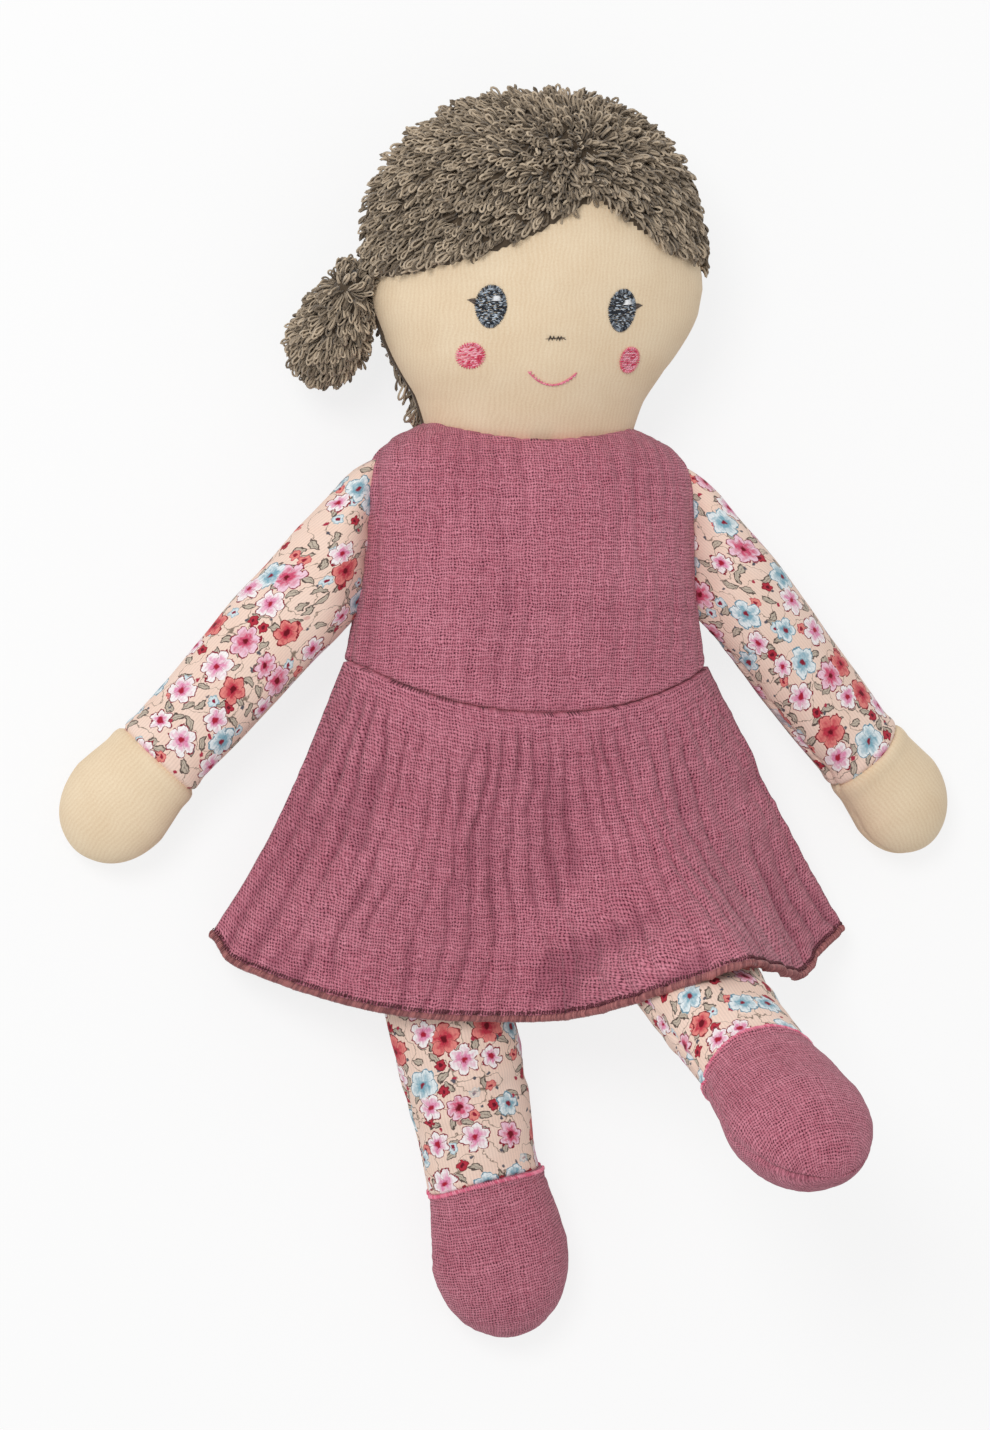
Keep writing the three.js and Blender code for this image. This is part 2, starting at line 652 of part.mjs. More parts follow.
// How far each column of a panel reaches in plan, and its heights at each row: draped over what lies beneath,
// eased between its neighbours and never sunk into its support. Where the cloth climbs, it reaches less far.
function drape(side) {
  const cut = panelLength(side);
  const rows = Array.from({ length: skirtRows + 1 }, (_, i) => i);
  const columns = Array.from({ length: skirtColumns + 1 }, (_, j) => j);
  let reaches = columns.map(() => cut);
  let heights = [];
  const beside = (list, j) => [list[Math.max(j - 1, 0)], list[Math.min(j + 1, skirtColumns)]];
  const clear = (i, j) => {
    const { x, y } = skirtPoint(acrossShare(j), skirtTop + downShare(i) * reaches[j]);
    const half = cut / skirtRows / 2;
    const around = [
      [0, 0],
      [half, 0],
      [-half, 0],
      [0, half],
      [0, -half],
    ];
    const found = around
      .map(([dx, dy]) => heightOver(beneath, x + dx, y + dy, side))
      .filter((height) => height !== undefined)
      .map((height) => side * height);
    return found.length && i > 0 ? Math.max(...found) + drapeClearance : -Infinity;
  };
  for (let round = 0; round < drapings; round++) {
    const support = rows.map((i) => columns.map((j) => clear(i, j)));
    heights = rows.map((i) =>
      columns.map((j) => Math.max(side * hangingHeight(side, acrossShare(j), downShare(i)), support[i][j])),
    );
    for (let k = 0; k < easings; k++) {
      heights = heights.map((row, i) =>
        row.map((height, j) => {
          if (i === 0 || j === 0 || j === skirtColumns) return height;
          const below = heights[Math.min(i + 1, skirtRows)][j];
          const eased = (row[j - 1] + row[j + 1] + heights[i - 1][j] + below + height) / 5;
          return Math.max(eased, support[i][j]);
        }),
      );
    }
    if (round === drapings - 1) break;
    const fitting = reaches.map((reach, j) => {
      const steps = rows.slice(1).map((i) => Math.hypot(reach / skirtRows, heights[i][j] - heights[i - 1][j]));
      return (reach * cut) / steps.reduce((sum, step) => sum + step);
    });
    reaches = fitting.map((reach, j) => (reach * 2 + beside(fitting, j)[0] + beside(fitting, j)[1]) / 4);
  }
  return { reaches, heights: heights.map((row) => row.map((height) => side * height)) };
}
// A strip of a panel, as its inner and its outer face: each row is its heights and the distances of its columns.
function strip(side, rows, thickness) {
  const faces = [0, thickness].map((out) =>
    rows.map(([heights, distances]) =>
      heights.map((height, j) => {
        const { x, y } = skirtPoint(acrossShare(j), distances[j]);
        return new THREE.Vector3(x, y, Math.max(height + side * out, side > 0 ? height : floor));
      }),
    ),
  );
  return slab(faces[1], faces[0]);
}
for (const [side, label] of panels) {
  const { reaches, heights } = drape(side);
  const rows = heights.map((row, i) => [row, reaches.map((reach) => skirtTop + downShare(i) * reach)]);
  addPiece(doll, `skirt_${label}`, strip(side, rows, cloth), muslin);
  const [edge, ends] = rows.at(-1);
  const hem = [gap, gap + hemDepth].map((below) => [edge, ends.map((end) => end + below)]);
  addPiece(doll, `hem_overlock_${label}`, strip(side, hem, hemThickness), hemThread);
}

export default doll;
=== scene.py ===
"""A sewn rag doll, lying on its back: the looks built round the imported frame. Lengths are in millimetres
until a mesh is made, and the doll's left is +X, its head +Y and its front +Z."""
import math
from functools import partial

import bmesh
import bpy
import numpy as np
from mathutils import Matrix, Vector
from mathutils.bvhtree import BVHTree


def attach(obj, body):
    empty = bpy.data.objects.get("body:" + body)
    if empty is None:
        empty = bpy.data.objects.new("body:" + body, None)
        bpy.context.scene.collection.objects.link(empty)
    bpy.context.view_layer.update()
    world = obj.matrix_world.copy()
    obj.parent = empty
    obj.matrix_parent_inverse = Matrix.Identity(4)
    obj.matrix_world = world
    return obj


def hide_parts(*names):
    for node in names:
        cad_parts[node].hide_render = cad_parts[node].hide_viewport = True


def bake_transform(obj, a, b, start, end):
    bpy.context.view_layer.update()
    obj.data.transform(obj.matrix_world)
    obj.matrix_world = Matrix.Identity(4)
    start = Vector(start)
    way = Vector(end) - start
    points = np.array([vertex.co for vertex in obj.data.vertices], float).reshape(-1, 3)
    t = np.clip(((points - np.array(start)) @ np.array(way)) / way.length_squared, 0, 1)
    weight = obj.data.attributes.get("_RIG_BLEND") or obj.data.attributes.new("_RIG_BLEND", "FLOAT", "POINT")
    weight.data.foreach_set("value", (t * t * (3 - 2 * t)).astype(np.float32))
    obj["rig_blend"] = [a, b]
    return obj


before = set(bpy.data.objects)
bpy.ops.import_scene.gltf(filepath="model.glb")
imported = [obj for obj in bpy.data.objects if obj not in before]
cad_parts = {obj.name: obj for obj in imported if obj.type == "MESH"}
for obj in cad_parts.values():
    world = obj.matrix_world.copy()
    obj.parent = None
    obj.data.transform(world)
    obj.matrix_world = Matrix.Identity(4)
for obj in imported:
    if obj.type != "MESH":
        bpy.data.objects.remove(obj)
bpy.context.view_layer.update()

# Bodice
# The upper body: a front and a back panel of crinkled cotton muslin over a stuffed body, sewn at the sides
# and drawn in at the neck. It carries the head, the arms and the skirt.

MM = 0.001
seam_height = 23.0  # of the plane in which all the side seams lie
waist_arc, waist_apex = 89.0, 62.0  # the waist seam is an arc about a point high on the chest
neck_middle, neck_rise, neck_half = 37.6, 4.2, 24.5  # the neckline's low point, its rise and half its width
chest_girth, cloth_pitch, bodice_rows = 225, 0.6, 226  # the pitch is from one column of its mesh to the next
torso_stations = [  # along Y, half width, half thickness
    (-56.0, 40.5, 16.5), (-39.6, 42.9, 19.0), (-19.0, 44.5, 21.0), (3.0, 41.0, 23.5), (26.0, 40.2, 20.8),
    (31.0, 39.2, 19.2), (34.0, 37.8, 17.8), (36.5, 35.4, 16.2), (38.7, 32.3, 14.4), (40.4, 28.8, 13.4),
    (42.0, 24.2, 13.0),
]


def linear(code):
    """An sRGB hex colour as linear red, green, blue and alpha."""
    parts = [int(code[i : i + 2], 16) / 255 for i in (1, 3, 5)]
    return (*(c / 12.92 if c <= 0.04045 else ((c + 0.055) / 1.055) ** 2.4 for c in parts), 1.0)


def add(tree, kind, inputs=(), output=0, **settings):
    """Adds a node with its settings, sets or links its inputs, given in order or by number or name, and
    returns one of its outputs. A kind is of shader node unless it says another, and "#" starts a colour."""
    made = tree.nodes.new(kind if "Node" in kind else "ShaderNode" + kind)
    for name, value in settings.items():
        setattr(made, name, value)
    for key, value in inputs.items() if isinstance(inputs, dict) else enumerate(inputs):
        if isinstance(value, bpy.types.NodeSocket):
            tree.links.new(value, made.inputs[key])
        else:
            made.inputs[key].default_value = linear(value) if str(value).startswith("#") else value
    return made.outputs[output] if len(made.outputs) else made


def new_finish(name):
    """A new material, and the function that adds a node to it."""
    made = bpy.data.materials.new(name)
    made.use_nodes = True
    return made, partial(add, made.node_tree)


def dress(fabric, colour, height, strength, depth, roughness, specular, sheen):
    """Gives a fabric its colour, the relief of its threads, with a depth in mm, its gloss and its bloom."""
    tree = fabric.node_tree
    shader = tree.nodes["Principled BSDF"]
    for socket, value in (("Roughness", roughness), ("Specular IOR Level", specular), ("Sheen Weight", sheen)):
        shader.inputs[socket].default_value = value
    bump = add(tree, "Bump", {"Height": height, "Strength": strength, "Distance": depth * MM})
    tree.links.new(colour, shader.inputs["Base Color"])
    tree.links.new(bump, shader.inputs["Normal"])
    return shader


def in_scene(name, data):
    """A new object of the scene round a mesh, a lamp or a camera."""
    made = bpy.data.objects.new(name, data)
    bpy.context.scene.collection.objects.link(made)
    return made


def noise(x, y, seed):
    """Smooth noise from -1 to 1 over a plane, with one bump to each unit."""
    grid = np.random.default_rng(seed).uniform(-1, 1, (64, 64))
    i, j = np.floor(x).astype(int), np.floor(y).astype(int)
    a, b = x - i, y - j
    a, b = a * a * (3 - 2 * a), b * b * (3 - 2 * b)
    low = grid[i % 64, j % 64] * (1 - a) + grid[(i + 1) % 64, j % 64] * a
    high = grid[i % 64, (j + 1) % 64] * (1 - a) + grid[(i + 1) % 64, (j + 1) % 64] * a
    return low * (1 - b) + high * b


def near(distance, width):
    """One on a line, and falling to nothing about two widths from it."""
    return np.exp(-((distance / width) ** 2))


def around(count):
    """The angles of as many points round a form, from its left."""
    return np.arange(count) * 2 * math.pi / count


def from_side(turn, half_width):
    """How far each column of a form lies from its side seams."""
    return half_width * np.abs(np.sin(turn))


def sewn_form(stations, dome=0.0, ease=6.0, fullness=2.0):
    """A function that gives half the width and half the thickness of a stuffed form at a distance along it."""
    at, wide, deep = np.array(stations, float).T
    step = 0.5
    fine = np.arange(at[0], at[-1] + step, step)
    kernel = np.hanning(2 * int(ease / step) + 3)
    kernel /= kernel.sum()
    reach = len(kernel) // 2

    def eased(values):
        line = np.interp(fine, at, values)
        before, after = line[reach:0:-1], line[-2 : -reach - 2 : -1]
        return np.convolve(np.concatenate([2 * line[0] - before, line, 2 * line[-1] - after]), kernel, "valid")

    wide, deep = eased(wide), eased(deep)

    def size(distance):
        beyond = np.clip((distance - at[-1]) / dome, 0, 1) if dome else 0.0
        share = (1 - beyond**fullness) ** (1 / fullness)
        return np.interp(distance, fine, wide) * share, np.interp(distance, fine, deep) * share

    return size


def tube(size, first, last, turn, shares):
    """Rings of points round a form between two lines across it, each given as a function of x."""
    x = np.zeros((len(shares), len(turn)))
    for _ in range(12):
        along = first(x) + (last(x) - first(x)) * shares[:, None]
        wide, deep = size(along)
        x = wide * np.cos(turn)
    return np.stack([x, along, deep * np.sin(turn)], -1)


def normals_of(points, wrap):
    """Unit normals of a grid of points, outwards where its columns run anticlockwise about its rows."""
    if wrap:
        across = np.roll(points, -1, 1) - np.roll(points, 1, 1)
    else:
        across = np.gradient(points, axis=1)
    made = np.cross(np.gradient(points, axis=0), across)
    return made / np.maximum(np.linalg.norm(made, axis=-1, keepdims=True), 1e-9)


def raised(points, relief):
    """The points of a closed form, moved out of it by a relief."""
    return points + relief[..., None] * normals_of(points, True)


def laid_flat(points):
    """Where each point of a stuffed form lies on its cloth, in mm: round it from its front, and along it."""
    front = points.shape[1] // 4
    ring = np.linalg.norm(np.roll(points, -1, 1) - points, axis=-1)
    across = np.cumsum(ring, 1) - ring
    steps = np.linalg.norm(np.diff(points, axis=0), axis=-1)
    along = points[:1, :, 1] + np.concatenate([0 * steps[:1], np.cumsum(steps, 0)])
    return np.stack([across - across[:, front : front + 1], along], -1)


def capped(points, uv):
    """The grid with its first and last rows closed to a point."""
    ends = [np.broadcast_to(row.mean(1, keepdims=True), row.shape) for row in (points[:1], points[-1:])]
    return np.concatenate([ends[0], points, ends[1]]), np.concatenate([uv[:1], uv, uv[-1:]])


def on_floor(points):
    """Pressed flat where a form would sink into what it lies on."""
    points[..., 2] = np.maximum(points[..., 2], 0)
    return points


def grid_piece(name, points, uv, material, relief=None):
    """A smooth closed piece from rings of points in millimetres, with a map of its cloth in millimetres. It
    keeps how deep each point lies in the cloth's crinkles, for the shade that is painted into the cloth's
    colour there."""
    rows, columns = points.shape[:2]
    index = np.arange(rows * columns).reshape(rows, columns)
    i, j = (v.ravel() for v in np.meshgrid(np.arange(rows - 1), np.arange(columns), indexing="ij"))
    beside = (j + 1) % columns
    faces = np.stack([index[i, j], index[i, beside], index[i + 1, beside], index[i + 1, j]], 1)
    flat = points.reshape(-1, 3)
    a, b, c, d = (flat[faces[:, k]] for k in range(4))
    inside = np.einsum("ij,ij->i", a, np.cross(b, c)).sum() + np.einsum("ij,ij->i", a, np.cross(c, d)).sum()
    corners = [(i, j), (i, j + 1), (i + 1, j + 1), (i + 1, j)]
    if inside < 0:
        faces, corners = faces[:, ::-1], corners[::-1]
    mesh = bpy.data.meshes.new(name)
    mesh.from_pydata((flat * MM).tolist(), [], faces.tolist())
    layer = mesh.uv_layers.new(name="cloth")
    joined = uv[:, :1].copy()
    joined[:, 0, 0] = uv[:, -1, 0] + uv[:, 1, 0] - uv[:, 0, 0]
    spread = np.concatenate([uv, joined], 1)
    layer.data.foreach_set("uv", np.stack([spread[p, q] for p, q in corners], 1).astype(np.float32).ravel())
    if relief is not None:
        # Painted shade: how deep each point lies in the crinkles, which darkens the muslin's colour there.
        low = mesh.attributes.new("painted_crease_shade", "FLOAT", "POINT")
        low.data.foreach_set("value", np.clip(-relief / 0.7, 0, 1).astype(np.float32).ravel())
    shape = bmesh.new()
    shape.from_mesh(mesh)
    bmesh.ops.remove_doubles(shape, verts=shape.verts, dist=1e-7)
    bmesh.ops.delete(shape, geom=[v for v in shape.verts if not v.link_faces], context="VERTS")
    shape.to_mesh(mesh)
    shape.free()
    mesh.shade_smooth()
    mesh.materials.append(material)
    return in_scene(name, mesh)


# Double gauze: a loose plain weave of dyed cotton with about 16 threads in 10 mm, drawn a tenth to a fifth
# coarser here so that it shows. The eye sees threads that wander and crowd, with dark gaps where four of them
# meet, and no gloss. It is read on the cloth's own map, so that a noise's scale is in bumps to a millimetre.
thread_pitch = (0.68, 0.74)  # mm from one warp thread to the next, and from weft to weft
muslin, node = new_finish("muslin_plain_weave")
coord = node("UVMap", uv_map="cloth")
wander = node("TexNoise", {"Vector": coord, "Scale": 0.32, "Detail": 3.0}, 1)
wander = node("VectorMath", (wander, (0.5, 0.5, 0.5)), operation="SUBTRACT")
wander = node("VectorMath", {0: wander, "Scale": 1.7}, operation="SCALE")
moved = node("VectorMath", (coord, wander), operation="ADD")
counted = node("VectorMath", (moved, (*thread_pitch, 1.0)), operation="DIVIDE")
middle = node("VectorMath", (counted,), operation="FRACTION")
middle = node("VectorMath", (middle, (0.5, 0.5, 0.0)), operation="SUBTRACT")
middle = node("VectorMath", (middle,), operation="ABSOLUTE")
number = node("VectorMath", (counted,), operation="FLOOR")
threads = []  # the warp and the weft: how a thread bulges, its number and its tone
for axis in ("X", "Y"):
    off = node("SeparateXYZ", (middle,), axis)
    count = node("SeparateXYZ", (number,), axis)
    tone = node("TexWhiteNoise", {"W": count}, 0, noise_dimensions="1D")
    thick = node("MapRange", {0: tone, 3: 0.39, 4: 0.44})
    share = node("Math", (off, thick), operation="DIVIDE")
    square = node("Math", (share, 2.0), operation="POWER")
    bulge = node("Math", (1.0, square), operation="SUBTRACT", use_clamp=True)
    threads.append((bulge, count, tone))
(warp, warp_count, warp_tone), (weft, weft_count, weft_tone) = threads
parity = node("Math", (warp_count, weft_count), operation="ADD")
parity = node("Math", (parity, 2.0), operation="FLOORED_MODULO")
under = node("MapRange", {0: parity, 3: 1.0, 4: 0.62})
over = node("MapRange", {0: parity, 3: 0.62, 4: 1.0})
warp = node("Math", (warp, under), operation="MULTIPLY")
weft = node("Math", (weft, over), operation="MULTIPLY")
height = node("Math", (warp, weft), operation="MAXIMUM")
crowd = node("TexNoise", {"Vector": coord, "Scale": 0.3, "Detail": 4.0})
crowd = node("MapRange", (crowd, 0.3, 0.6, 0.7, 1.0))
hole = node("MapRange", (height, 0.78, 0.28, 0.0, 1.0))
hole = node("Math", (hole, crowd), operation="MULTIPLY")
fade = node("TexNoise", {"Vector": coord, "Scale": 0.05, "Detail": 2.0})
slub = node("TexNoise", {"Vector": coord, "Scale": 0.9, "Detail": 3.0})
mixed = node("Math", (warp_tone, weft_tone), operation="ADD")
mixed = node("Math", (mixed, 0.09, slub), operation="MULTIPLY_ADD")
mixed = node("Math", (fade, 0.35, mixed), operation="MULTIPLY_ADD")
mixed = node("MapRange", (mixed, 0.52, 1.08))
cotton = node("Mix", {0: mixed, 6: "#b66577", 7: "#dd90a1"}, 2, data_type="RGBA")
# Painted shade: the cotton is darkened towards #8a4659 down in the crinkles, where shade falls.
painted_crease_shade = node("Attribute", output="Fac", attribute_name="painted_crease_shade")
painted_crease_shade = node("MapRange", {0: painted_crease_shade, 4: 0.5})
cotton = node("Mix", {0: painted_crease_shade, 6: cotton, 7: "#8a4659"}, 2, data_type="RGBA")
colour = node("Mix", {0: hole, 6: cotton, 7: "#501629"}, 2, data_type="RGBA")
shader = dress(muslin, colour, height, 0.5, 0.12, roughness=0.95, specular=0.2, sheen=0.12)
shader.inputs["Sheen Roughness"].default_value = 0.6


def crinkle(u, v, seed, fine=0.12, crease=0.4, broad=0.5):
    """The relief of crinkled gauze: long creases 5.5 mm apart, puckers between them and soft waves, in mm."""
    sway = 0.5 * noise(u / 12, v / 24, seed) + 0.16 * noise(u / 4, v / 7, seed + 5)
    creases = np.abs(np.sin((u / 5.5 + sway) * math.pi)) ** 0.6
    depth = 0.65 + 0.35 * noise(u / 6, v / 12, seed + 1)
    puckers = noise(u / 1.9, v / 2.4, seed + 2) + 0.6 * noise(u / 0.9, v / 1.3, seed + 3)
    waves = noise(u / 11, v / 40, seed + 4)
    return crease * depth * (creases - 0.7) + fine * puckers + broad * waves


def waist_line(x):
    """How far up the waist seam lies."""
    return waist_apex - np.sqrt(waist_arc**2 - np.clip(x, -60, 60) ** 2)


def neck_line(x):
    """How far up the neckline lies."""
    return neck_middle + neck_rise * np.minimum(np.abs(x) / neck_half, 1) ** 2


torso_size = sewn_form(torso_stations, ease=3.0)
turn = around(int(chest_girth / cloth_pitch))
points = tube(torso_size, waist_line, neck_line, turn, np.linspace(0, 1, bodice_rows))
from_waist = points[..., 1] - waist_line(points[..., 0])
uv = laid_flat(points)
relief = crinkle(uv[..., 0], uv[..., 1], 11, fine=0.15, crease=0.75, broad=0.4)
crinkled = np.pad(relief, ((1, 1), (0, 0)), mode="edge")
relief -= 0.7 * near(from_side(turn, 42), 0.8)
relief -= 1.7 * near(from_waist, 0.6) - 0.3 * near(from_waist - 2.0, 1.5)
points = raised(points, relief)
points[..., 2] += seam_height
points, uv = capped(on_floor(points), uv)
bodice = grid_piece("bodice", points, uv, muslin, relief=crinkled)
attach(bodice, "torso")
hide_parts("bodice_front", "bodice_back", "torso_stuffing")

# Seat
# The lower end of the body, under the skirt: the same muslin, front and back, sewn to the waist seam above
# and closed round the stuffing below. It carries the legs.

seat_y, seat_inset, waist_overlap = -55.0, 1.2, 0.6


def level(y):
    """A straight line across a form."""
    return lambda x: y + 0 * x


seat_size = sewn_form([(-56, 30, 8), (-54, 38, 14), (-50, 41, 17), *torso_stations[1:4]], ease=2.0)
seat_top = lambda x: waist_line(x) + waist_overlap
points = tube(seat_size, level(seat_y), seat_top, around(260), np.linspace(0, 1, 60))
uv = laid_flat(points)
points = raised(points, crinkle(uv[..., 0], uv[..., 1], 31) - seat_inset)
points[..., 2] += seam_height
points, uv = capped(on_floor(points), uv)
seat = grid_piece("seat", points, uv, muslin)
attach(seat, "torso")
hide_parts("seat_front", "seat_back")

# Face
# The head is a stuffed bag of cream cotton velour, with one panel for the face. Its neck end is sewn into
# the top of the bodice, and it nods there.

neck_hinge = Vector((0, 48.3, seam_height))
head_turn = math.radians(9.42)
neck_end, crown = -9.8, 70.19  # along the head, from the hinge
head_stations = [
    (-10.5, 24.4, 12.8), (0.36, 28.26, 18), (9.62, 33.75, 22), (19.68, 37.48, 24.25), (30.95, 39.25, 25)
]
left_bulge = (-8, 0, 8, 15, 22, 28, 36, 50, 62), (0, -0.8, -0.8, 0.6, 1.9, 1.9, -0.4, -1, 0)  # along, out
right_bulge = (0, 10, 24, 32, 60, 70), (0, 1.2, 2.4, 1.2, 0.9, 0)
head_size = sewn_form(head_stations, dome=39.25, ease=5.0, fullness=2.3)
head_place = np.array(Matrix.Translation(neck_hinge) @ Matrix.Rotation(head_turn, 4, "X"))
neck_bend = dict(start=(0, 0.0385, 0.023), end=(0, 0.050, 0.023))


def placed(points, place):
    """Points turned and moved by a 4 by 4 matrix."""
    return points @ place[:3, :3].T + place[:3, 3]


def even_shares(size, start, end, pitch):
    """Shares from 0 to 1 of the way from start to end that lie evenly along the form's outline."""
    fine = start + (end - start) * np.sin(np.linspace(0, math.pi / 2, 600))
    wide, _ = size(fine)
    run = np.concatenate([[0], np.cumsum(np.hypot(np.diff(fine), np.diff(wide)))])
    return (np.interp(np.linspace(0, run[-1], int(run[-1] / pitch) + 2), run, fine) - start) / (end - start)


# Cotton velour: a short cut pile on a knitted ground. The eye sees a soft bloom at grazing angles, fine
# speckle from the tufts and faint ribs 1.1 mm apart, and no gloss.
rib_pitch = 1.1
velour, node = new_finish("cotton_velour")
coord = node("UVMap", uv_map="cloth")
apart = node("SeparateXYZ", (coord,), "X")
sway = node("TexNoise", {"Vector": coord, "Scale": 0.15, "Detail": 2.0})
rib = node("Math", (sway, 3.0, apart), operation="MULTIPLY_ADD")
rib = node("Math", (rib, 2 * math.pi / rib_pitch), operation="MULTIPLY")
rib = node("Math", (rib,), operation="SINE")
tuft = node("TexNoise", {"Vector": coord, "Scale": 2.4, "Detail": 3.0, "Roughness": 0.7})
patch = node("TexNoise", {"Vector": coord, "Scale": 0.09, "Detail": 3.0})
tone = node("Math", (rib, 0.09, tuft), operation="MULTIPLY_ADD")
tone = node("Math", (patch, 0.6, tone), operation="MULTIPLY_ADD")
tone = node("MapRange", (tone, 0.5, 1.1))
pile = node("Mix", {0: tone, 6: "#e2c8a6", 7: "#f1dec0"}, 2, data_type="RGBA")
shader = dress(velour, pile, tuft, 0.35, 0.25, roughness=0.9, specular=0.15, sheen=0.25)
shader.inputs["Sheen Roughness"].default_value = 0.4
shader.inputs["Sheen Tint"].default_value = linear("#fff1dd")


def head_shape(columns, pitch):
    """The head's stuffed shape in its own frame, with rings from the neck to the crown, and their angles."""
    turn, shares = around(columns), even_shares(head_size, neck_end, crown, pitch)
    points = tube(head_size, level(neck_end), level(crown), turn, shares)
    x, along = points[..., 0], points[..., 1]
    lumps = 0.5 * noise(x / 17, along / 15 + np.sign(points[..., 2]) * 9, 41)
    pucker = 0.6 + 0.4 * noise(along / 1.7, 0 * along, 42)
    lumps -= pucker * near(from_side(turn, 34), 1.3)
    bulge = np.where(np.cos(turn) > 0, np.interp(along, *left_bulge), np.interp(along, *right_bulge))
    lumps += bulge * np.cos(turn) ** 4
    wide, _ = head_size(along)
    return raised(points, lumps * np.clip(wide / 12, 0, 1)), turn


points, turn = head_shape(300, 0.7)
uv = laid_flat(points)
points, uv = capped(on_floor(placed(points, head_place)), uv)
face = grid_piece("face", points, uv, velour)
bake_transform(face, "torso", "head", **neck_bend)
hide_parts("face_panel", "head_stuffing")

# Hair
# Long-loop terry in taupe: a front panel from the hairline to the crown and a back panel down to the neck,
# sewn into the head's side seam. Its loops are twisted yarn and lie combed away from the parting.

hairline = np.array([  # shares of half the head's width and of its length
    (-1.3, 0.445), (-1, 0.455), (-0.84, 0.48), (-0.58, 0.527), (-0.38, 0.562), (-0.18, 0.612), (-0.04, 0.65),
    (0.11, 0.698), (0.19, 0.722), (0.26, 0.705), (0.42, 0.658), (0.59, 0.602), (0.76, 0.562), (1, 0.527),
    (1.3, 0.52),
]) * (39.25, 80.5) - (0, 9.3)
loop_length, loop_width, yarn = 3.7, 1.0, 0.56
loops_to_a_panel = 3100

# Combed cotton yarn, piece-dyed: matt, with a paler bloom of loose fibres on the turns that stand out. The
# shade between the loops is painted near black into the colour of the cloth under them.
yarn_twist = 0.5
terry, node = new_finish("terry_cotton_yarn")
coord = node("TexCoord", output="Object")
tint = node("Attribute", output="Fac", attribute_name="tone")
twist = node("TexNoise", {"Vector": coord, "Scale": 1 / (yarn_twist * MM), "Detail": 2.0})
tone = node("Math", (twist, 0.6, tint), operation="MULTIPLY_ADD")
tone = node("MapRange", (tone, 0.2, 1.3))
dyed = node("Mix", {0: tone, 6: "#55483a", 7: "#ccb9a0"}, 2, data_type="RGBA")
dress(terry, dyed, twist, 0.6, 0.15, roughness=0.9, specular=0.2, sheen=0.2)

# One tree lays a small shape at every vertex of a guide, with its length along "along" and its top to "out".
lay = bpy.data.node_groups.new("lay_repeats", "GeometryNodeTree")
socket = lay.interface.new_socket
socket("Geometry", in_out="INPUT", socket_type="NodeSocketGeometry")
shape_input = socket("Shape", in_out="INPUT", socket_type="NodeSocketObject").identifier
scale_input = socket("Shape scale", in_out="INPUT", socket_type="NodeSocketFloat").identifier
finish_input = socket("Material", in_out="INPUT", socket_type="NodeSocketMaterial").identifier
socket("Geometry", in_out="OUTPUT", socket_type="NodeSocketGeometry")
node = partial(add, lay)
given = node("NodeGroupInput").node.outputs
along, out, size = (
    node("GeometryNodeInputNamedAttribute", {"Name": name}, data_type="FLOAT_VECTOR")
    for name in ("along", "out", "size")
)
turned = node("FunctionNodeAxesToRotation", (along, out), primary_axis="Y", secondary_axis="Z")
sized = node("VectorMath", {0: size, "Scale": given["Shape scale"]}, operation="SCALE")
shape = node("GeometryNodeObjectInfo", {"Object": given["Shape"]}, "Geometry")
laid = {"Points": given["Geometry"], "Instance": shape, "Rotation": turned, "Scale": sized}
laid = node("GeometryNodeInstanceOnPoints", laid)
laid = node("GeometryNodeRealizeInstances", (laid,))
laid = node("GeometryNodeSetShadeSmooth", (laid,))
laid = node("GeometryNodeSetMaterial", {0: laid, "Material": given["Material"]})
node("NodeGroupOutput", (laid,))


def strand(name, path, radius, sides=4, bent_about=(1.0, 0.01, 0.02)):
    """A thin closed tube along a path of points in millimetres, as the source of a repeated shape."""
    path = np.array(path, float)
    ahead = np.gradient(path, axis=0)
    ahead /= np.linalg.norm(ahead, axis=1, keepdims=True)
    across = np.cross(ahead, bent_about)
    across /= np.linalg.norm(across, axis=1, keepdims=True)
    third = np.cross(ahead, across)
    turn = around(sides)
    ring = across[:, None] * np.cos(turn)[None, :, None] + third[:, None] * np.sin(turn)[None, :, None]
    radius = np.broadcast_to(np.asarray(radius, float), len(path))
    dots = (path[:, None] + ring * radius[:, None, None]).reshape(-1, 3)
    faces = [
        (i * sides + j, i * sides + (j + 1) % sides, (i + 1) * sides + (j + 1) % sides, (i + 1) * sides + j)
        for i in range(len(path) - 1)
        for j in range(sides)
    ]
    faces += [tuple(range(sides))[::-1], tuple(range((len(path) - 1) * sides, len(path) * sides))]
    mesh = bpy.data.meshes.new(name)
    mesh.from_pydata((dots * MM).tolist(), [], faces)
    shape = bmesh.new()
    shape.from_mesh(mesh)
    bmesh.ops.recalc_face_normals(shape, faces=shape.faces)
    shape.to_mesh(mesh)
    shape.free()
    return in_scene(name, mesh)


def repeat(name, at, along, out, size, tone, source, material):
    """One plain mesh of a small shape laid at every guide point, by the tree lay_repeats."""
    guides = {"along": along, "out": out, "size": size * np.ones(3)}
    mesh = bpy.data.meshes.new(name)
    mesh.from_pydata((at * MM).tolist(), [], [])
    for label, values in guides.items():
        layer = mesh.attributes.new(label, "FLOAT_VECTOR", "POINT")
        layer.data.foreach_set("vector", np.asarray(values, np.float32).ravel())
    layer = mesh.attributes.new("tone", "FLOAT", "POINT")
    layer.data.foreach_set("value", np.asarray(tone, np.float32))
    guide = in_scene(name + "_guide", mesh)
    laying = guide.modifiers.new("lay", "NODES")
    laying.node_group = lay
    laying[shape_input], laying[scale_input], laying[finish_input] = source, 1.0, material
    plain = bpy.data.meshes.new_from_object(guide.evaluated_get(bpy.context.evaluated_depsgraph_get()))
    plain.name = name
    bpy.data.objects.remove(guide)
    bpy.data.meshes.remove(mesh)
    for label in guides:
        if label in plain.attributes:
            plain.attributes.remove(plain.attributes[label])
    return in_scene(name, plain)


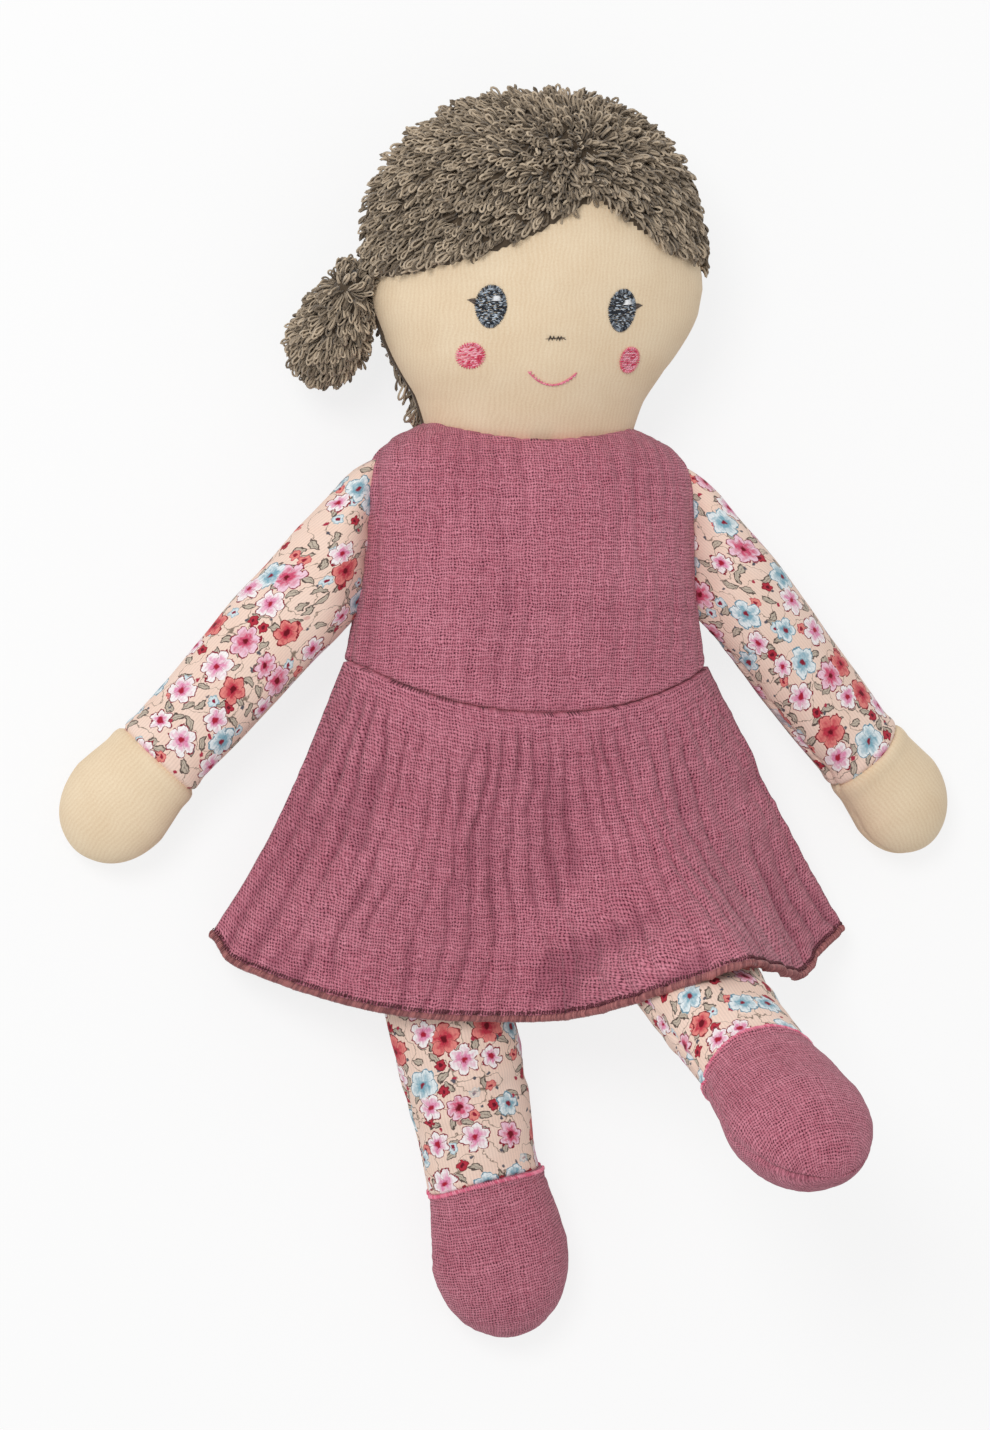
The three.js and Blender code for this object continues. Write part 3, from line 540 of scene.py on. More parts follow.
def strewn(points, wanted, count, seed):
    """Random places on a closed grid of points where wanted holds: their positions and normals."""
    picks = np.random.default_rng(seed)
    beside = np.roll(points, -1, 1)
    area = np.linalg.norm(np.cross(beside[:-1] - points[:-1], points[1:] - points[:-1]), axis=-1)
    area = (area * wanted[:-1]).ravel()
    cell = picks.choice(area.size, count, p=area / area.sum())
    i, j = np.divmod(cell, points.shape[1])
    a, b = picks.uniform(0, 1, (2, count, 1))
    at = points[i, j] * (1 - a) + beside[i, j] * a
    return at + (points[i + 1, j] - points[i, j]) * b, normals_of(points, True)[i, j]


def combed(at, normals, toward, lift, stray, seed, calm=1.0):
    """Directions that lie along the surface towards given ones, lifted off it and strayed at random, but less
    so where the loops lie calm."""
    picks = np.random.default_rng(seed)
    flat = toward - normals * np.einsum("ij,ij->i", toward, normals)[:, None]
    flat /= np.maximum(np.linalg.norm(flat, axis=1, keepdims=True), 1e-6)
    rise = picks.uniform(*lift, (len(at), 1))
    along = flat + (normals * rise + picks.normal(0, stray, at.shape)) * calm
    out = normals + picks.normal(0, 0.5, at.shape)
    return along / np.linalg.norm(along, axis=1, keepdims=True), out


def loop_path(length, width):
    """A yarn loop shaped like a drop: out along one leg, round its wide end and back, arched over the cloth."""
    share = np.array([0, 0.35, 0.62, 0.8, 0.95, 1.0, 0.95, 0.8, 0.62, 0.35, 0])
    half = width / 2 * np.array([0.45, 0.6, 0.92, 1.0, 0.62, 0, -0.62, -1.0, -0.92, -0.6, -0.45])
    twist = 0.7 * share
    arch = 0.8 * np.sin(math.pi * 0.75 * share)
    return np.stack([half * np.cos(twist), length * share, half * np.sin(twist) + arch], 1)


def down_and_aside(at):
    """The way the front loops are combed: down and away from a line that parts them, and up at the crown."""
    x, y, _ = at.T
    aside = 14 * np.tanh((x - np.interp(y, (48, 66), (8, 4))) / 14)
    tousled = 6 * noise(x / 5, y / 5, 55) + 4 * noise(x / 1.5, y / 1.5, 56)
    down = np.clip((y - 64) * 1.2, -16, 16) + 8 * noise(x / 6, y / 6, 57)
    return np.stack([aside + tousled, down, -0.35 * np.maximum(y - 60, 0)], 1)


def down_the_back(at):
    """The way the back loops are combed: down and a little outwards."""
    return np.stack([at[:, 0] * 0.012, -1.0 + 0.02 * (at[:, 1] - 60), 0 * at[:, 0]], 1)


def terry_ground(name, points, uv):
    """The cloth under the loops, dyed like them, with the loops' shade painted into its colour."""
    made = grid_piece(name, points, uv, terry)
    layer = made.data.attributes.new("tone", "FLOAT", "POINT")
    # Painted shade: a tone below every loop's gives the ground the yarn's darkest colour.
    layer.data.foreach_set("value", np.full(len(made.data.vertices), -0.2, np.float32))
    return made


points, turn = head_shape(240, 1.0)
uv = laid_flat(points)
x, y, z = points[..., 0], points[..., 1], points[..., 2]
line = np.interp(x, *hairline.T)
front = np.sin(turn)[None, :] > -0.02
terry_loop = strand("terry_loop", loop_path(loop_length, loop_width), yarn / 2, 3, bent_about=(0.02, 0.01, 1.0))
for seed, (name, ground_on, loops_on, toward) in enumerate((
    ("hair_front", front & (y > line + 0.8), front & (y > line + 2.4), down_and_aside),
    ("hair_back", ~front & (line > 0), ~front & ((z < -1.5) | (y > line)), down_the_back),
)):
    ground = points + np.where(ground_on, 0.5, -2.2)[..., None] * normals_of(points, True)
    cloth = terry_ground(name + "_ground", *capped(on_floor(placed(ground, head_place)), uv))
    at, out = strewn(points, loops_on, loops_to_a_panel, 50 + seed)
    # Beside the face the back panel's loops lie flat and point backwards, so that none hangs over the velour.
    # The loops lie calm at the doll's left temple too, and stand up in a whorl at the crown.
    beside = np.where(at[:, 0] > 0, -11, np.where(at[:, 1] > 8, -7, 0))
    beside = (at[:, 2] > beside) & (at[:, 2] < 0) & (at[:, 1] < np.interp(at[:, 0], *hairline.T))
    temple = (at[:, 0] > 24) & (at[:, 1] > 28) & (at[:, 1] < 54)
    whorl = (at[:, 2] > 0) * np.exp(-(((at[:, 0] - 7) / 11) ** 2) - ((at[:, 1] - 64) / 10) ** 2)
    calm = (np.where(beside, 0.15, np.where(temple, 0.5, 1.0)) + 1.3 * whorl)[:, None]
    direction = np.where(beside[:, None], (0, -0.4, -1.0), toward(at))
    along, up = combed(at, out, direction, (0.1, 0.8), 0.32, 60 + seed, calm)
    picks = np.random.default_rng(70 + seed)
    size = picks.uniform(0.8, 1.25, (len(at), 1)) * np.where(beside, 0.75, 1.0)[:, None]
    at = placed(at + out * 0.2, head_place)
    at[:, 2] = np.maximum(at[:, 2], 1.6)
    along, up = along @ head_place[:3, :3].T, up @ head_place[:3, :3].T
    low = at[:, 2] + along[:, 2] * loop_length < 0.6  # these would run into the floor
    along[low, 2] = np.maximum((0.6 - at[low, 2]) / loop_length, -0.2)
    loops = repeat(name + "_loops", at, along, up, size, picks.uniform(0, 1, len(at)), terry_loop, terry)
    for piece in (cloth, loops):
        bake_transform(piece, "torso", "head", **neck_bend)
    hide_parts(name)

# Hair bunch
# A ball of the same terry, stuffed, gathered at its root and sewn into the side seam at the doll's right
# temple, so that it swings there. Its loops fan out from the root.

bunch_root, bunch_end, loops_to_the_bunch = -2.5, 24.49, 1350
bunch_place = Matrix.Translation((-44.4, 25.6, 0)) @ Matrix.Rotation(math.radians(-55), 4, (0, 1, 0))
bunch_place = head_place @ np.array(bunch_place @ Matrix.Rotation(math.radians(152), 4, "Z"))
bunch_size = sewn_form([(-3, 3.2, 3.0), (2, 4.2, 4.0), (8, 6.4, 6.2), (15, 7.3, 7.1)], dome=9.5, ease=3.0)
shares = even_shares(bunch_size, bunch_root, bunch_end, 1.0)
points = tube(bunch_size, level(bunch_root), level(bunch_end), around(72), shares)
uv = laid_flat(points)
at, out = strewn(points, np.ones(points.shape[:2], bool), loops_to_the_bunch, 81)
along, up = combed(at, out, at - (0, 1.0, 0), (0.1, 0.7), 0.32, 82)
along, up = along @ bunch_place[:3, :3].T, up @ bunch_place[:3, :3].T
picks = np.random.default_rng(83)
size = picks.uniform(0.8, 1.2, (len(at), 1))
tones = picks.uniform(0.05, 1, len(at))
cloth = terry_ground("hair_bunch_ground", *capped(on_floor(placed(points, bunch_place)), uv))
loops = repeat("hair_bunch_loops", placed(at, bunch_place), along, up, size, tones, terry_loop, terry)
bpy.data.objects.remove(terry_loop)
for piece in (cloth, loops):
    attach(piece, "hair_bunch")
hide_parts("hair_bunch_front", "hair_bunch_back", "hair_bunch_stuffing")

# Embroidered face
# Eyes, lashes, nose, mouth and cheeks are machine embroidery on the face panel: satin and fill stitches of
# lustrous rayon thread, each stitch a short strand with both ends in the cloth.

head_width, head_length, seam_to_hinge = 78.5, 80.5, 9.3
eye_x, eye_y = 0.4 * head_width / 2, 0.413 * head_length - seam_to_hinge
eye_wide, eye_tall = 7.2 / 2, 10.2 / 2  # half of each
nose_y, mouth_y = 0.329 * head_length - seam_to_hinge, 0.206 * head_length - seam_to_hinge
mouth_half, mouth_depth = 5.7, 3.0
cheek_x, cheek_y, cheek_radius = 0.4875 * head_width / 2, 0.264 * head_length - seam_to_hinge, 3.15
embroidery_lift = 0.12

# Rayon embroidery thread: 120 denier, about 0.3 mm wide where it lies. It catches the light along each
# stitch, and that light is painted into the colour: each stitch has a lighter or darker tone of its own, so
# that one patch shows stripes of its own colour.
ply = 0.3


def thread(name, dark, light):
    """Thread between two colours, told apart stitch by stitch by the attribute tone."""
    made, node = new_finish(name)
    tint = node("Attribute", output="Fac", attribute_name="tone")
    coord = node("TexCoord", output="Object")
    plies = node("TexNoise", {"Vector": coord, "Scale": 1 / (ply * MM), "Detail": 1.0})
    # Painted highlight and shade: the tone of each stitch stands in for how much light it catches.
    tone = node("Math", (plies, 0.5, tint), operation="MULTIPLY_ADD")
    tone = node("MapRange", (tone, 0.15, 1.3))
    dyed = node("Mix", {0: tone, 6: dark, 7: light}, 2, data_type="RGBA")
    dress(made, dyed, plies, 0.4, 0.05, roughness=0.45, specular=0.4, sheen=0.1)
    return made


slate_thread = thread("rayon_thread_slate", "#18202d", "#c6d2de")
white_thread = thread("rayon_thread_white", "#d9dde2", "#ffffff")
brown_thread = thread("rayon_thread_brown", "#33271f", "#7c6c60")
pink_thread = thread("rayon_thread_pink", "#dc2a5c", "#ffbccc")
coral_thread = thread("rayon_thread_coral", "#dc5078", "#f7a0b6")

# A stitch one unit long and one wide, raised in its middle.
bow = [(0, 0.0, -0.2), (0, 0.2, 0.2), (0, 0.5, 0.35), (0, 0.8, 0.2), (0, 1.0, -0.2)]
stitch = strand("stitch", bow, [0.3, 0.5, 0.52, 0.5, 0.3])


def on_face(x, y, lift):
    """Points above the face panel at places given in the head's frame, and the normals there."""

    def height(x, y):
        wide, deep = head_size(y)
        return deep * np.sqrt(np.clip(1 - (x / wide) ** 2, 0.01, 1)) + 0.5 * noise(x / 17, y / 15 + 9, 41)

    z = height(x, y)
    normal = np.stack([z - height(x + 0.5, y), z - height(x, y + 0.5), np.full_like(z, 0.5)], -1)
    normal /= np.linalg.norm(normal, axis=-1, keepdims=True)
    return np.stack([x, y, z], -1) + normal * lift, normal


def embroider(node, stitches, material):
    """A patch of stitches in place of a node, each given by its two ends, its width, its tone and its lift."""
    x0, y0, x1, y1, width, tone, lift = np.array(stitches, float).T
    a, normal = on_face(x0, y0, embroidery_lift)
    b, _ = on_face(x1, y1, embroidery_lift)
    a, b = a + normal * lift[:, None], b + normal * lift[:, None]
    size = np.stack([width, np.linalg.norm(b - a, axis=1), width], 1)
    turned = head_place[:3, :3].T
    at = placed(a, head_place)
    made = repeat(node + "_stitches", at, (b - a) @ turned, normal @ turned, size, tone, stitch, material)
    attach(made, "head")
    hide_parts(node)


for side, half in (("left", 1), ("right", -1)):
    picks = np.random.default_rng(90 + half)
    centre = np.array([half * eye_x, eye_y])
    rows = []
    for row in np.arange(-eye_tall + 0.35, eye_tall - 0.15, 0.3):
        pinch = 1 - 0.12 * (row < 0) * abs(row) / eye_tall  # an eye is narrower below
        reach = eye_wide * math.sqrt(max(1 - (row / eye_tall) ** 2, 0)) * pinch
        start = -reach + picks.uniform(0, 0.7)
        while start < reach - 0.25:
            end = min(start + picks.uniform(0.35, 0.75), reach)
            tone = picks.choice([-0.2, 0.2, 0.7, 1.3], p=[0.54, 0.22, 0.12, 0.12])
            lean = picks.uniform(-0.2, 0.2)
            rows.append((*(centre + (start, row)), *(centre + (end, row + lean)), 0.3, tone, 0.0))
            start = end
    for angle in np.arange(0, 2 * math.pi, 0.105):
        edge = np.array([math.cos(angle) * eye_wide, math.sin(angle) * eye_tall])
        if edge[1] < 0:
            edge[0] *= 1 + 0.12 * edge[1] / eye_tall
        inner = edge * (1 - 0.75 / np.linalg.norm(edge))
        rows.append((*(centre + inner), *(centre + edge * 0.99), 0.32, picks.choice([-0.2, 0.1, 0.5]), 0.1))
    embroider("eye_" + side, rows, slate_thread)

    # Four white stitches make the glint, and six brown ones the lash at the eye's outer side.
    rows = []
    for k in range(4):
        x, y = half * eye_x + 0.1 * k, eye_y + 1.5 + 0.3 * k
        rows.append((x + 0.3, y, half * eye_x + 2.1 - 0.1 * k, y + 0.15, 0.34, picks.uniform(0.4, 1), 0.3))
    embroider("eye_glint_" + side, rows, white_thread)
    rows = []
    for k in range(6):
        root = centre + (half * (eye_wide - 0.2), 0.2 + 0.28 * k)
        tip = centre + (half * (eye_wide + 1.5 - 0.3 * abs(k - 2.5)), 0.8 + 0.14 * k)
        rows.append((*root, *tip, 0.27, picks.uniform(0.0, 1.1), 0.1))
    embroider("eyelash_" + side, rows, brown_thread)

picks = np.random.default_rng(95)
rows = []
for k in range(4):
    x = -1.9 + 0.9 * k + picks.uniform(-0.2, 0.2)
    tall = picks.uniform(0.3, 0.55)
    rows.append((x, nose_y - tall, x + 0.25, nose_y + 0.4, 0.25, picks.uniform(-0.2, 0.4), 0.12))
    rows.append((x + 0.6, nose_y - 0.25, x + 0.3, nose_y + tall, 0.25, picks.uniform(-0.2, 0.4), 0.1))
rows.append((-1.9, nose_y - 0.2, 1.4, nose_y + 0.1, 0.2, 0.2, 0.0))
rows.append((1.4, nose_y + 0.1, 2.2, nose_y - 0.3, 0.2, 0.6, 0.0))
embroider("nose", rows, brown_thread)

x = np.linspace(-mouth_half, mouth_half, 17)
y = mouth_y - mouth_depth / 2 + mouth_depth * (x / mouth_half) ** 2
rows = []
for k in range(16):
    rows.append((x[k], y[k], x[k + 1] + 0.1, y[k + 1], 0.38, picks.uniform(0.1, 0.9), 0.02))
    rows.append((x[k] + 0.3, y[k] - 0.15, x[k] + 0.65, y[k] + 0.18, 0.3, picks.choice([-0.6, 0.6, 1.3]), 0.14))
embroider("mouth", rows, coral_thread)

for side, half, row_share, rim_share in (("left", 1, 0.8, 0.82), ("right", -1, 1.0, 1.0)):
    centre = np.array([half * cheek_x, cheek_y])
    rows = []
    for row in np.arange(-cheek_radius + 0.35, cheek_radius - 0.2, 0.4):
        reach = (math.sqrt(cheek_radius**2 - row**2) - 0.3) * row_share
        start = -reach
        while start < reach - 0.4:
            end = min(start + picks.uniform(0.4, 0.8), reach)
            a, b = centre + (start, row), centre + (end, row + 0.22 * (end - start))
            rows.append((*a, *b, 0.34, picks.choice([-0.1, 0.3, 0.8, 1.4]), 0.0))
            start = end
    for angle in np.arange(0, 2 * math.pi, 0.19):
        edge = np.array([math.cos(angle) * rim_share, math.sin(angle)])
        a, b = centre + edge * (cheek_radius - 0.55), centre + edge * (cheek_radius + 0.05)
        rows.append((*a, *b, 0.34, picks.uniform(-0.1, 0.6), 0.12))
    embroider("cheek_" + side, rows, pink_thread)
bpy.data.objects.remove(stitch)

# Sleeves
# Two tubes of printed cotton jersey with their own stuffing, sewn flat into the body's side seams, so that
# the arms fold forward there.

shoulder = {"right": (-53.941, 0.062), "left": (53.775, 1.244)}
shoulder_axis = {"right": (0.13917, 0.99027, 0), "left": (0.13917, -0.99027, 0)}
shoulder_fold = {"right": -21.37, "left": -20.28}
arm_spread = {"right": -42.0, "left": 44.0}
arm_stations = [(-45, 12.2, 10), (0, 12.25, 10), (31, 11.7, 9.5), (52, 11.2, 9), (66, 13.5, 9.5)]
hand_start, hand_end = 52.0, 81.99  # along the arm
armhole_top, armhole_low = (37.4, 33.5), (42.2, -9.0)  # on the torso's side
sleeve_rows = np.linspace(0, 1, 190)
arm_size = sewn_form(arm_stations, dome=16.0, ease=6.0)
arm_turn = around(128)


def cuff_line(x):
    """How far along the arm the sleeve's lower seam lies."""
    return 162 - np.sqrt(110**2 - np.clip(x, -60, 60) ** 2)


# Printed cotton jersey: fine knitted ribs 0.8 mm apart under a ditsy print of small garden flowers, laid
# down as flat inks with a thin drawn outline. Matt, and the ribs break the ink edges a little. The shade
# between the knit's ribs is painted into the print's colour, together with a fine random mottle of the knit.
knit_pitch = 0.8
jersey, node = new_finish("printed_cotton_jersey")
coord = node("UVMap", uv_map="cloth")
feather = node("TexNoise", {"Vector": coord, "Scale": 0.6, "Detail": 4.0}, 1)
feather = node("VectorMath", (feather, (0.5, 0.5, 0.5)), operation="SUBTRACT")
feather = node("VectorMath", {0: feather, "Scale": 2.2}, operation="SCALE")
inked = node("VectorMath", (coord, feather), operation="ADD")


def motifs(pitch, shift, looseness):
    """A motif to each cell of about pitch mm: its own turned x and y, radius, angle and three chances."""
    cells = node("VectorMath", (inked, (1 / pitch,) * 3, shift), operation="MULTIPLY_ADD")
    cell = {"Vector": cells, "Scale": 1.0, "Randomness": looseness}
    cell = node("TexVoronoi", cell, "Position", voronoi_dimensions="2D")
    chance = node("SeparateColor", (cell.node.outputs["Color"],)).node.outputs
    off = node("VectorMath", (cells, cell), operation="SUBTRACT")
    off = node("VectorMath", {0: off, "Scale": pitch}, operation="SCALE")
    off = node("VectorMath", (off, (1, 1, 0)), operation="MULTIPLY")
    turn = node("Math", (chance[0], 2 * math.pi), operation="MULTIPLY")
    off = node("VectorRotate", {"Vector": off, "Angle": turn}, rotation_type="Z_AXIS")
    radius = node("VectorMath", (off,), 1, operation="LENGTH")
    apart = node("SeparateXYZ", (off,)).node.outputs
    angle = node("Math", (apart["Y"], apart["X"]), operation="ARCTAN2")
    return apart["X"], apart["Y"], radius, angle, chance


def lobes(angle, count):
    """A wave round a blossom's centre with count crests."""
    wave = node("Math", (angle, count / 2), operation="MULTIPLY")
    return node("Math", (wave,), operation="COSINE")


def petals(angle, count, size, depth):
    """The radius of a blossom's outline round its centre."""
    wave = node("Math", (lobes(angle, count),), operation="ABSOLUTE")
    wave = node("Math", (wave, 0.7), operation="POWER")
    wave = node("Math", (wave, depth, 1 - depth), operation="MULTIPLY_ADD")
    return node("Math", (wave, size), operation="MULTIPLY")


def within(value, low, high, soft=0.1):
    """One where a value lies between two others, with soft edges."""
    a = node("MapRange", (value, low - soft, low + soft))
    b = node("MapRange", (value, high + soft, high - soft))
    return node("Math", (a, b), operation="MULTIPLY")


def printed(under, mask, ink, gate=None):
    """The print so far with one more ink laid over it where the mask, and the gate, hold."""
    if gate is not None:
        mask = node("Math", (mask, gate), operation="MULTIPLY")
    return node("Mix", {0: mask, 6: under, 7: ink}, 2, data_type="RGBA")


fade = node("TexNoise", {"Vector": coord, "Scale": 0.12, "Detail": 2.0})
inks = node("Mix", {0: fade, 6: "#f7d4c0", 7: "#fce4d6"}, 2, data_type="RGBA")
stems = node("TexNoise", {"Vector": inked, "Scale": 0.16, "Detail": 0.0})
inks = printed(inks, within(stems, 0.492, 0.508, 0.006), "#8f7d6e")

# Leaves: bent blades 4 mm long with an outline and a vein.
x, y, _, _, chance = motifs(4.3, (0.3, 0.7, 0), 0.8)
bent = node("Math", (x, x), operation="MULTIPLY")
bent = node("Math", (bent, 0.16, y), operation="MULTIPLY_ADD")
long = node("Math", (x, 2.1), operation="DIVIDE")
long = node("Math", (long, long), operation="MULTIPLY")
broad = node("Math", (bent, 0.95), operation="DIVIDE")
broad = node("Math", (broad,), operation="ABSOLUTE")
leaf = node("Math", (long, broad), operation="ADD")
vein = within(bent, -0.07, 0.07, 0.06)
vein = node("Math", (vein, within(leaf, -1, 0.8)), operation="MULTIPLY")
some = within(chance[1], 0.38, 2.0, 0.01)
inks = printed(inks, within(leaf, -1, 0.9), "#c9bbaa", some)
inks = printed(inks, within(leaf, 0.66, 1.0, 0.06), "#5f524b", some)
inks = printed(inks, vein, "#8b7d74", some)

# Dots, then buds of 3 mm and blossoms of 6 to 9 mm, each kind where its chance lies between low and high.
_, _, radius, _, chance = motifs(3.9, (5.2, 1.4, 0), 0.9)
inks = printed(inks, within(radius, -1, 0.42), "#5d5c66", within(chance[1], -1, 0.24, 0.01))
inks = printed(inks, within(radius, -1, 0.55), "#b3364c", within(chance[1], 0.85, 2, 0.01))
_, _, radius, angle, chance = motifs(6.3, (2.6, 3.9, 0), 0.7)
inside = node("Math", (petals(angle, 5, 1.5, 0.3), radius), operation="SUBTRACT")
for low, high, fill, rim, heart in (
    (-1, 0.2, "#bd3444", "#82182a", "#6d1527"),
    (0.2, 0.36, "#ee8f85", "#c4475a", "#9c2338"),
    (0.36, 0.56, "#dceaef", "#8cafbc", "#94203a"),
):
    gate = within(chance[1], low, high, 0.005)
    inks = printed(inks, within(inside, 0, 9, 0.08), fill, gate)
    inks = printed(inks, within(inside, 0, 0.22, 0.08), rim, gate)
    inks = printed(inks, within(radius, -1, 0.5), heart, gate)
_, _, radius, angle, chance = motifs(9.3, (7.1, 0.2, 0), 0.6)
size = node("MapRange", {0: chance[2], 3: 3.1, 4: 4.5})
rays = node("TexNoise", {"Vector": inked, "Scale": 0.9, "Detail": 1.0})
for low, high, count, pale, mid, rim, heart in (
    (-1, 0.34, 6, "#fffaf9", "#ec97bb", "#8e1428", "#b0203a"),
    (0.34, 0.52, 7, "#f8d3e2", "#d85576", "#8e1428", "#74101f"),
    (0.52, 0.63, 5, "#ee8d86", "#c8394c", "#8a1828", "#6e0e1e"),
    (0.63, 0.86, 5, "#eef6f8", "#86b3c4", "#6d98ab", "#8f2234"),
):
    gate = within(chance[1], low, high, 0.005)
    outline = petals(angle, count, size, 0.34)
    inside = node("Math", (outline, radius), operation="SUBTRACT")
    share = node("Math", (radius, outline), operation="DIVIDE")
    share = node("Math", (rays, 0.9, share), operation="MULTIPLY_ADD")
    share = node("MapRange", (share, 0.75, 1.25))
    fill = node("Mix", {0: share, 6: mid, 7: pale}, 2, data_type="RGBA")
    petal = within(inside, 0, 9, 0.06)
    inks = printed(inks, petal, fill, gate)
    inks = printed(inks, within(inside, 0.0, 0.32, 0.06), rim, gate)
    line = node("Math", (lobes(angle, count), radius), operation="MULTIPLY")
    line = node("Math", (within(line, -0.1, 0.1, 0.09), petal), operation="MULTIPLY")
    inks = printed(inks, line, rim, gate)
    inks = printed(inks, within(radius, -1, 0.75, 0.2), heart, gate)
ribs = node("SeparateXYZ", (coord,), "X")
ribs = node("Math", (ribs, 2 * math.pi / knit_pitch), operation="MULTIPLY")
ribs = node("Math", (ribs,), operation="SINE")
knit = node("TexNoise", {"Vector": coord, "Scale": 3.0, "Detail": 2.0})
knit = node("Math", (ribs, 0.25, knit), operation="MULTIPLY_ADD")
# Painted shade: the print is darkened between the knit's ribs, and by a fine random mottle of the knit.
print_with_painted_rib_shade = node("MapRange", (knit, 0.2, 0.9, 0.86, 1.0))
print_with_painted_rib_shade = node("Mix", {0: 1.0, 6: inks, 7: print_with_painted_rib_shade}, 2, data_type="RGBA", blend_type="MULTIPLY")
dress(jersey, print_with_painted_rib_shade, knit, 0.4, 0.1, roughness=0.9, specular=0.2, sheen=0.08)


def folded(points, pivot, axis, fold, start, end):
    """Points turned about a hinge by a share that grows from 0 at start to 1 at end, as a sewn limb bends."""
    way = end - start
    share = np.clip((points - start) @ way / (way @ way), 0, 1)
    turn = (share**2 * (3 - 2 * share))[..., None] * math.radians(fold)
    axis = np.array(axis) / np.linalg.norm(axis)
    arm = points - pivot
    ahead = np.einsum("...i,i->...", arm, axis)[..., None] * axis
    side = arm - ahead
    return pivot + ahead + side * np.cos(turn) + np.cross(axis, side) * np.sin(turn)


def stuffed_relief(points, turn, seed, lump=0.5):
    """Soft lumps of the stuffing, and the pull of the side seams with its small puckers."""
    x, along, z = points[..., 0], points[..., 1], points[..., 2]
    relief = lump * noise(x / 9 + np.sign(z) * 7, along / 12, seed)
    pucker = 0.75 + 0.5 * noise(along / 1.6, 0 * along, seed + 1)
    return relief - 0.9 * pucker * near(from_side(turn, 12), 0.9)


def limb_frame(pivot, spread):
    """The place of a limb that lies unfolded in the seam plane."""
    return np.array(Matrix.Translation(pivot) @ Matrix.Rotation(math.pi + math.radians(spread), 4, "Z"))


def in_metres(start, end):
    return dict(start=tuple(start * MM), end=tuple(end * MM))


for side, half in (("right", -1), ("left", 1)):
    pivot = np.array([*shoulder[side], seam_height])
    place = limb_frame(pivot, arm_spread[side])
    ends = np.array([(half * x, y, seam_height) for x, y in (armhole_top, armhole_low)])
    top, low = (ends - place[:3, 3]) @ place[:3, :3]
    slope = (low[1] - top[1]) / (low[0] - top[0])
    armhole_line = lambda x: top[1] + (x - top[0]) * slope - 1.5
    inward = np.array([-half * 0.99027, 0.13917, 0])
    start, end = pivot + inward * 11, pivot - inward * 6
    hinge = (pivot, shoulder_axis[side], shoulder_fold[side], start, end)

    points = tube(arm_size, armhole_line, cuff_line, arm_turn, sleeve_rows)
    length = cuff_line(points[..., 0]) - armhole_line(points[..., 0])
    from_root, from_cuff = sleeve_rows[:, None] * length, (1 - sleeve_rows[:, None]) * length
    points[..., 2] *= 0.22 + 0.78 * np.sin(np.clip(from_root / 16, 0, 1) * math.pi / 2)
    uv = laid_flat(points) + (40 * half, 0)
    relief = stuffed_relief(points, arm_turn, 100 + half)
    relief += 0.45 * noise(points[..., 0] / 5, points[..., 1] / 3.2, 104) * np.exp(-from_root / 12)
    relief -= 0.9 * near(from_cuff, 0.7) - 0.35 * near(from_cuff - 2, 1.6)
    points = folded(placed(raised(points, relief), place), *hinge)
    # No print shows above the shoulder, where the bodice covers the seam.
    above = np.maximum(points[..., 1] - 33.2 + 0.5 * (np.abs(points[..., 0]) - 37.4) + 2, 0)
    points[..., 1] += 2 * np.tanh(above / 2) - above
    points, uv = capped(on_floor(points), uv)
    sleeve = grid_piece("sleeve_" + side, points, uv, jersey)
    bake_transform(sleeve, "torso", "arm_" + side, **in_metres(start, end))
    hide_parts("sleeve_front_" + side, "sleeve_back_" + side, "arm_stuffing_" + side)

    # Hand: a velour mitt without fingers, sewn to the sleeve's end.
    shares = even_shares(arm_size, hand_start, hand_end, 0.6)
    points = tube(arm_size, lambda x: cuff_line(x) - 0.5, level(hand_end), arm_turn, shares)
    from_cuff = points[..., 1] - cuff_line(points[..., 0])
    wide, _ = arm_size(points[..., 1])
    relief = stuffed_relief(points, arm_turn, 110 + half, lump=0.35) * np.clip(wide / 6, 0, 1)
    relief -= 1.1 * near(from_cuff + 0.5, 0.7) - 0.4 * near(from_cuff - 2, 1.8)
    points = raised(points, relief)
    uv = laid_flat(points) + (300, 0)
    points, uv = capped(on_floor(folded(placed(points, place), *hinge)), uv)
    hand = grid_piece("hand_" + side, points, uv, velour)
    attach(hand, "arm_" + side)
    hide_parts("hand_front_" + side, "hand_back_" + side)

# Leg covers
# Two longer tubes of the same printed jersey, stuffed and sewn flat into the seat's lower seam. The doll's
# left leg lies lifted, so that the skirt rises over its thigh.

hip_y, leg_spacing = -67.3, 49.0
leg_spread = {"right": 14.0, "left": 13.0}
hip_fold = {"right": -7.30, "left": 58.0}
leg_root, shoe_start, shoe_end = -16.4, 74.0, 115.99  # along the leg
leg_rows = np.linspace(0, 1, 200)
leg_size = sewn_form([(-17, 16, 11.5), (22, 16, 12), (74, 13.7, 10.5), (94.5, 17, 12)], dome=21.5, ease=7.0)
leg_turn = around(150)


def shoe_line(x):
    """How far along the leg the shoe's upper edge lies."""
    return 116 - np.sqrt(42**2 - np.clip(x, -30, 30) ** 2)


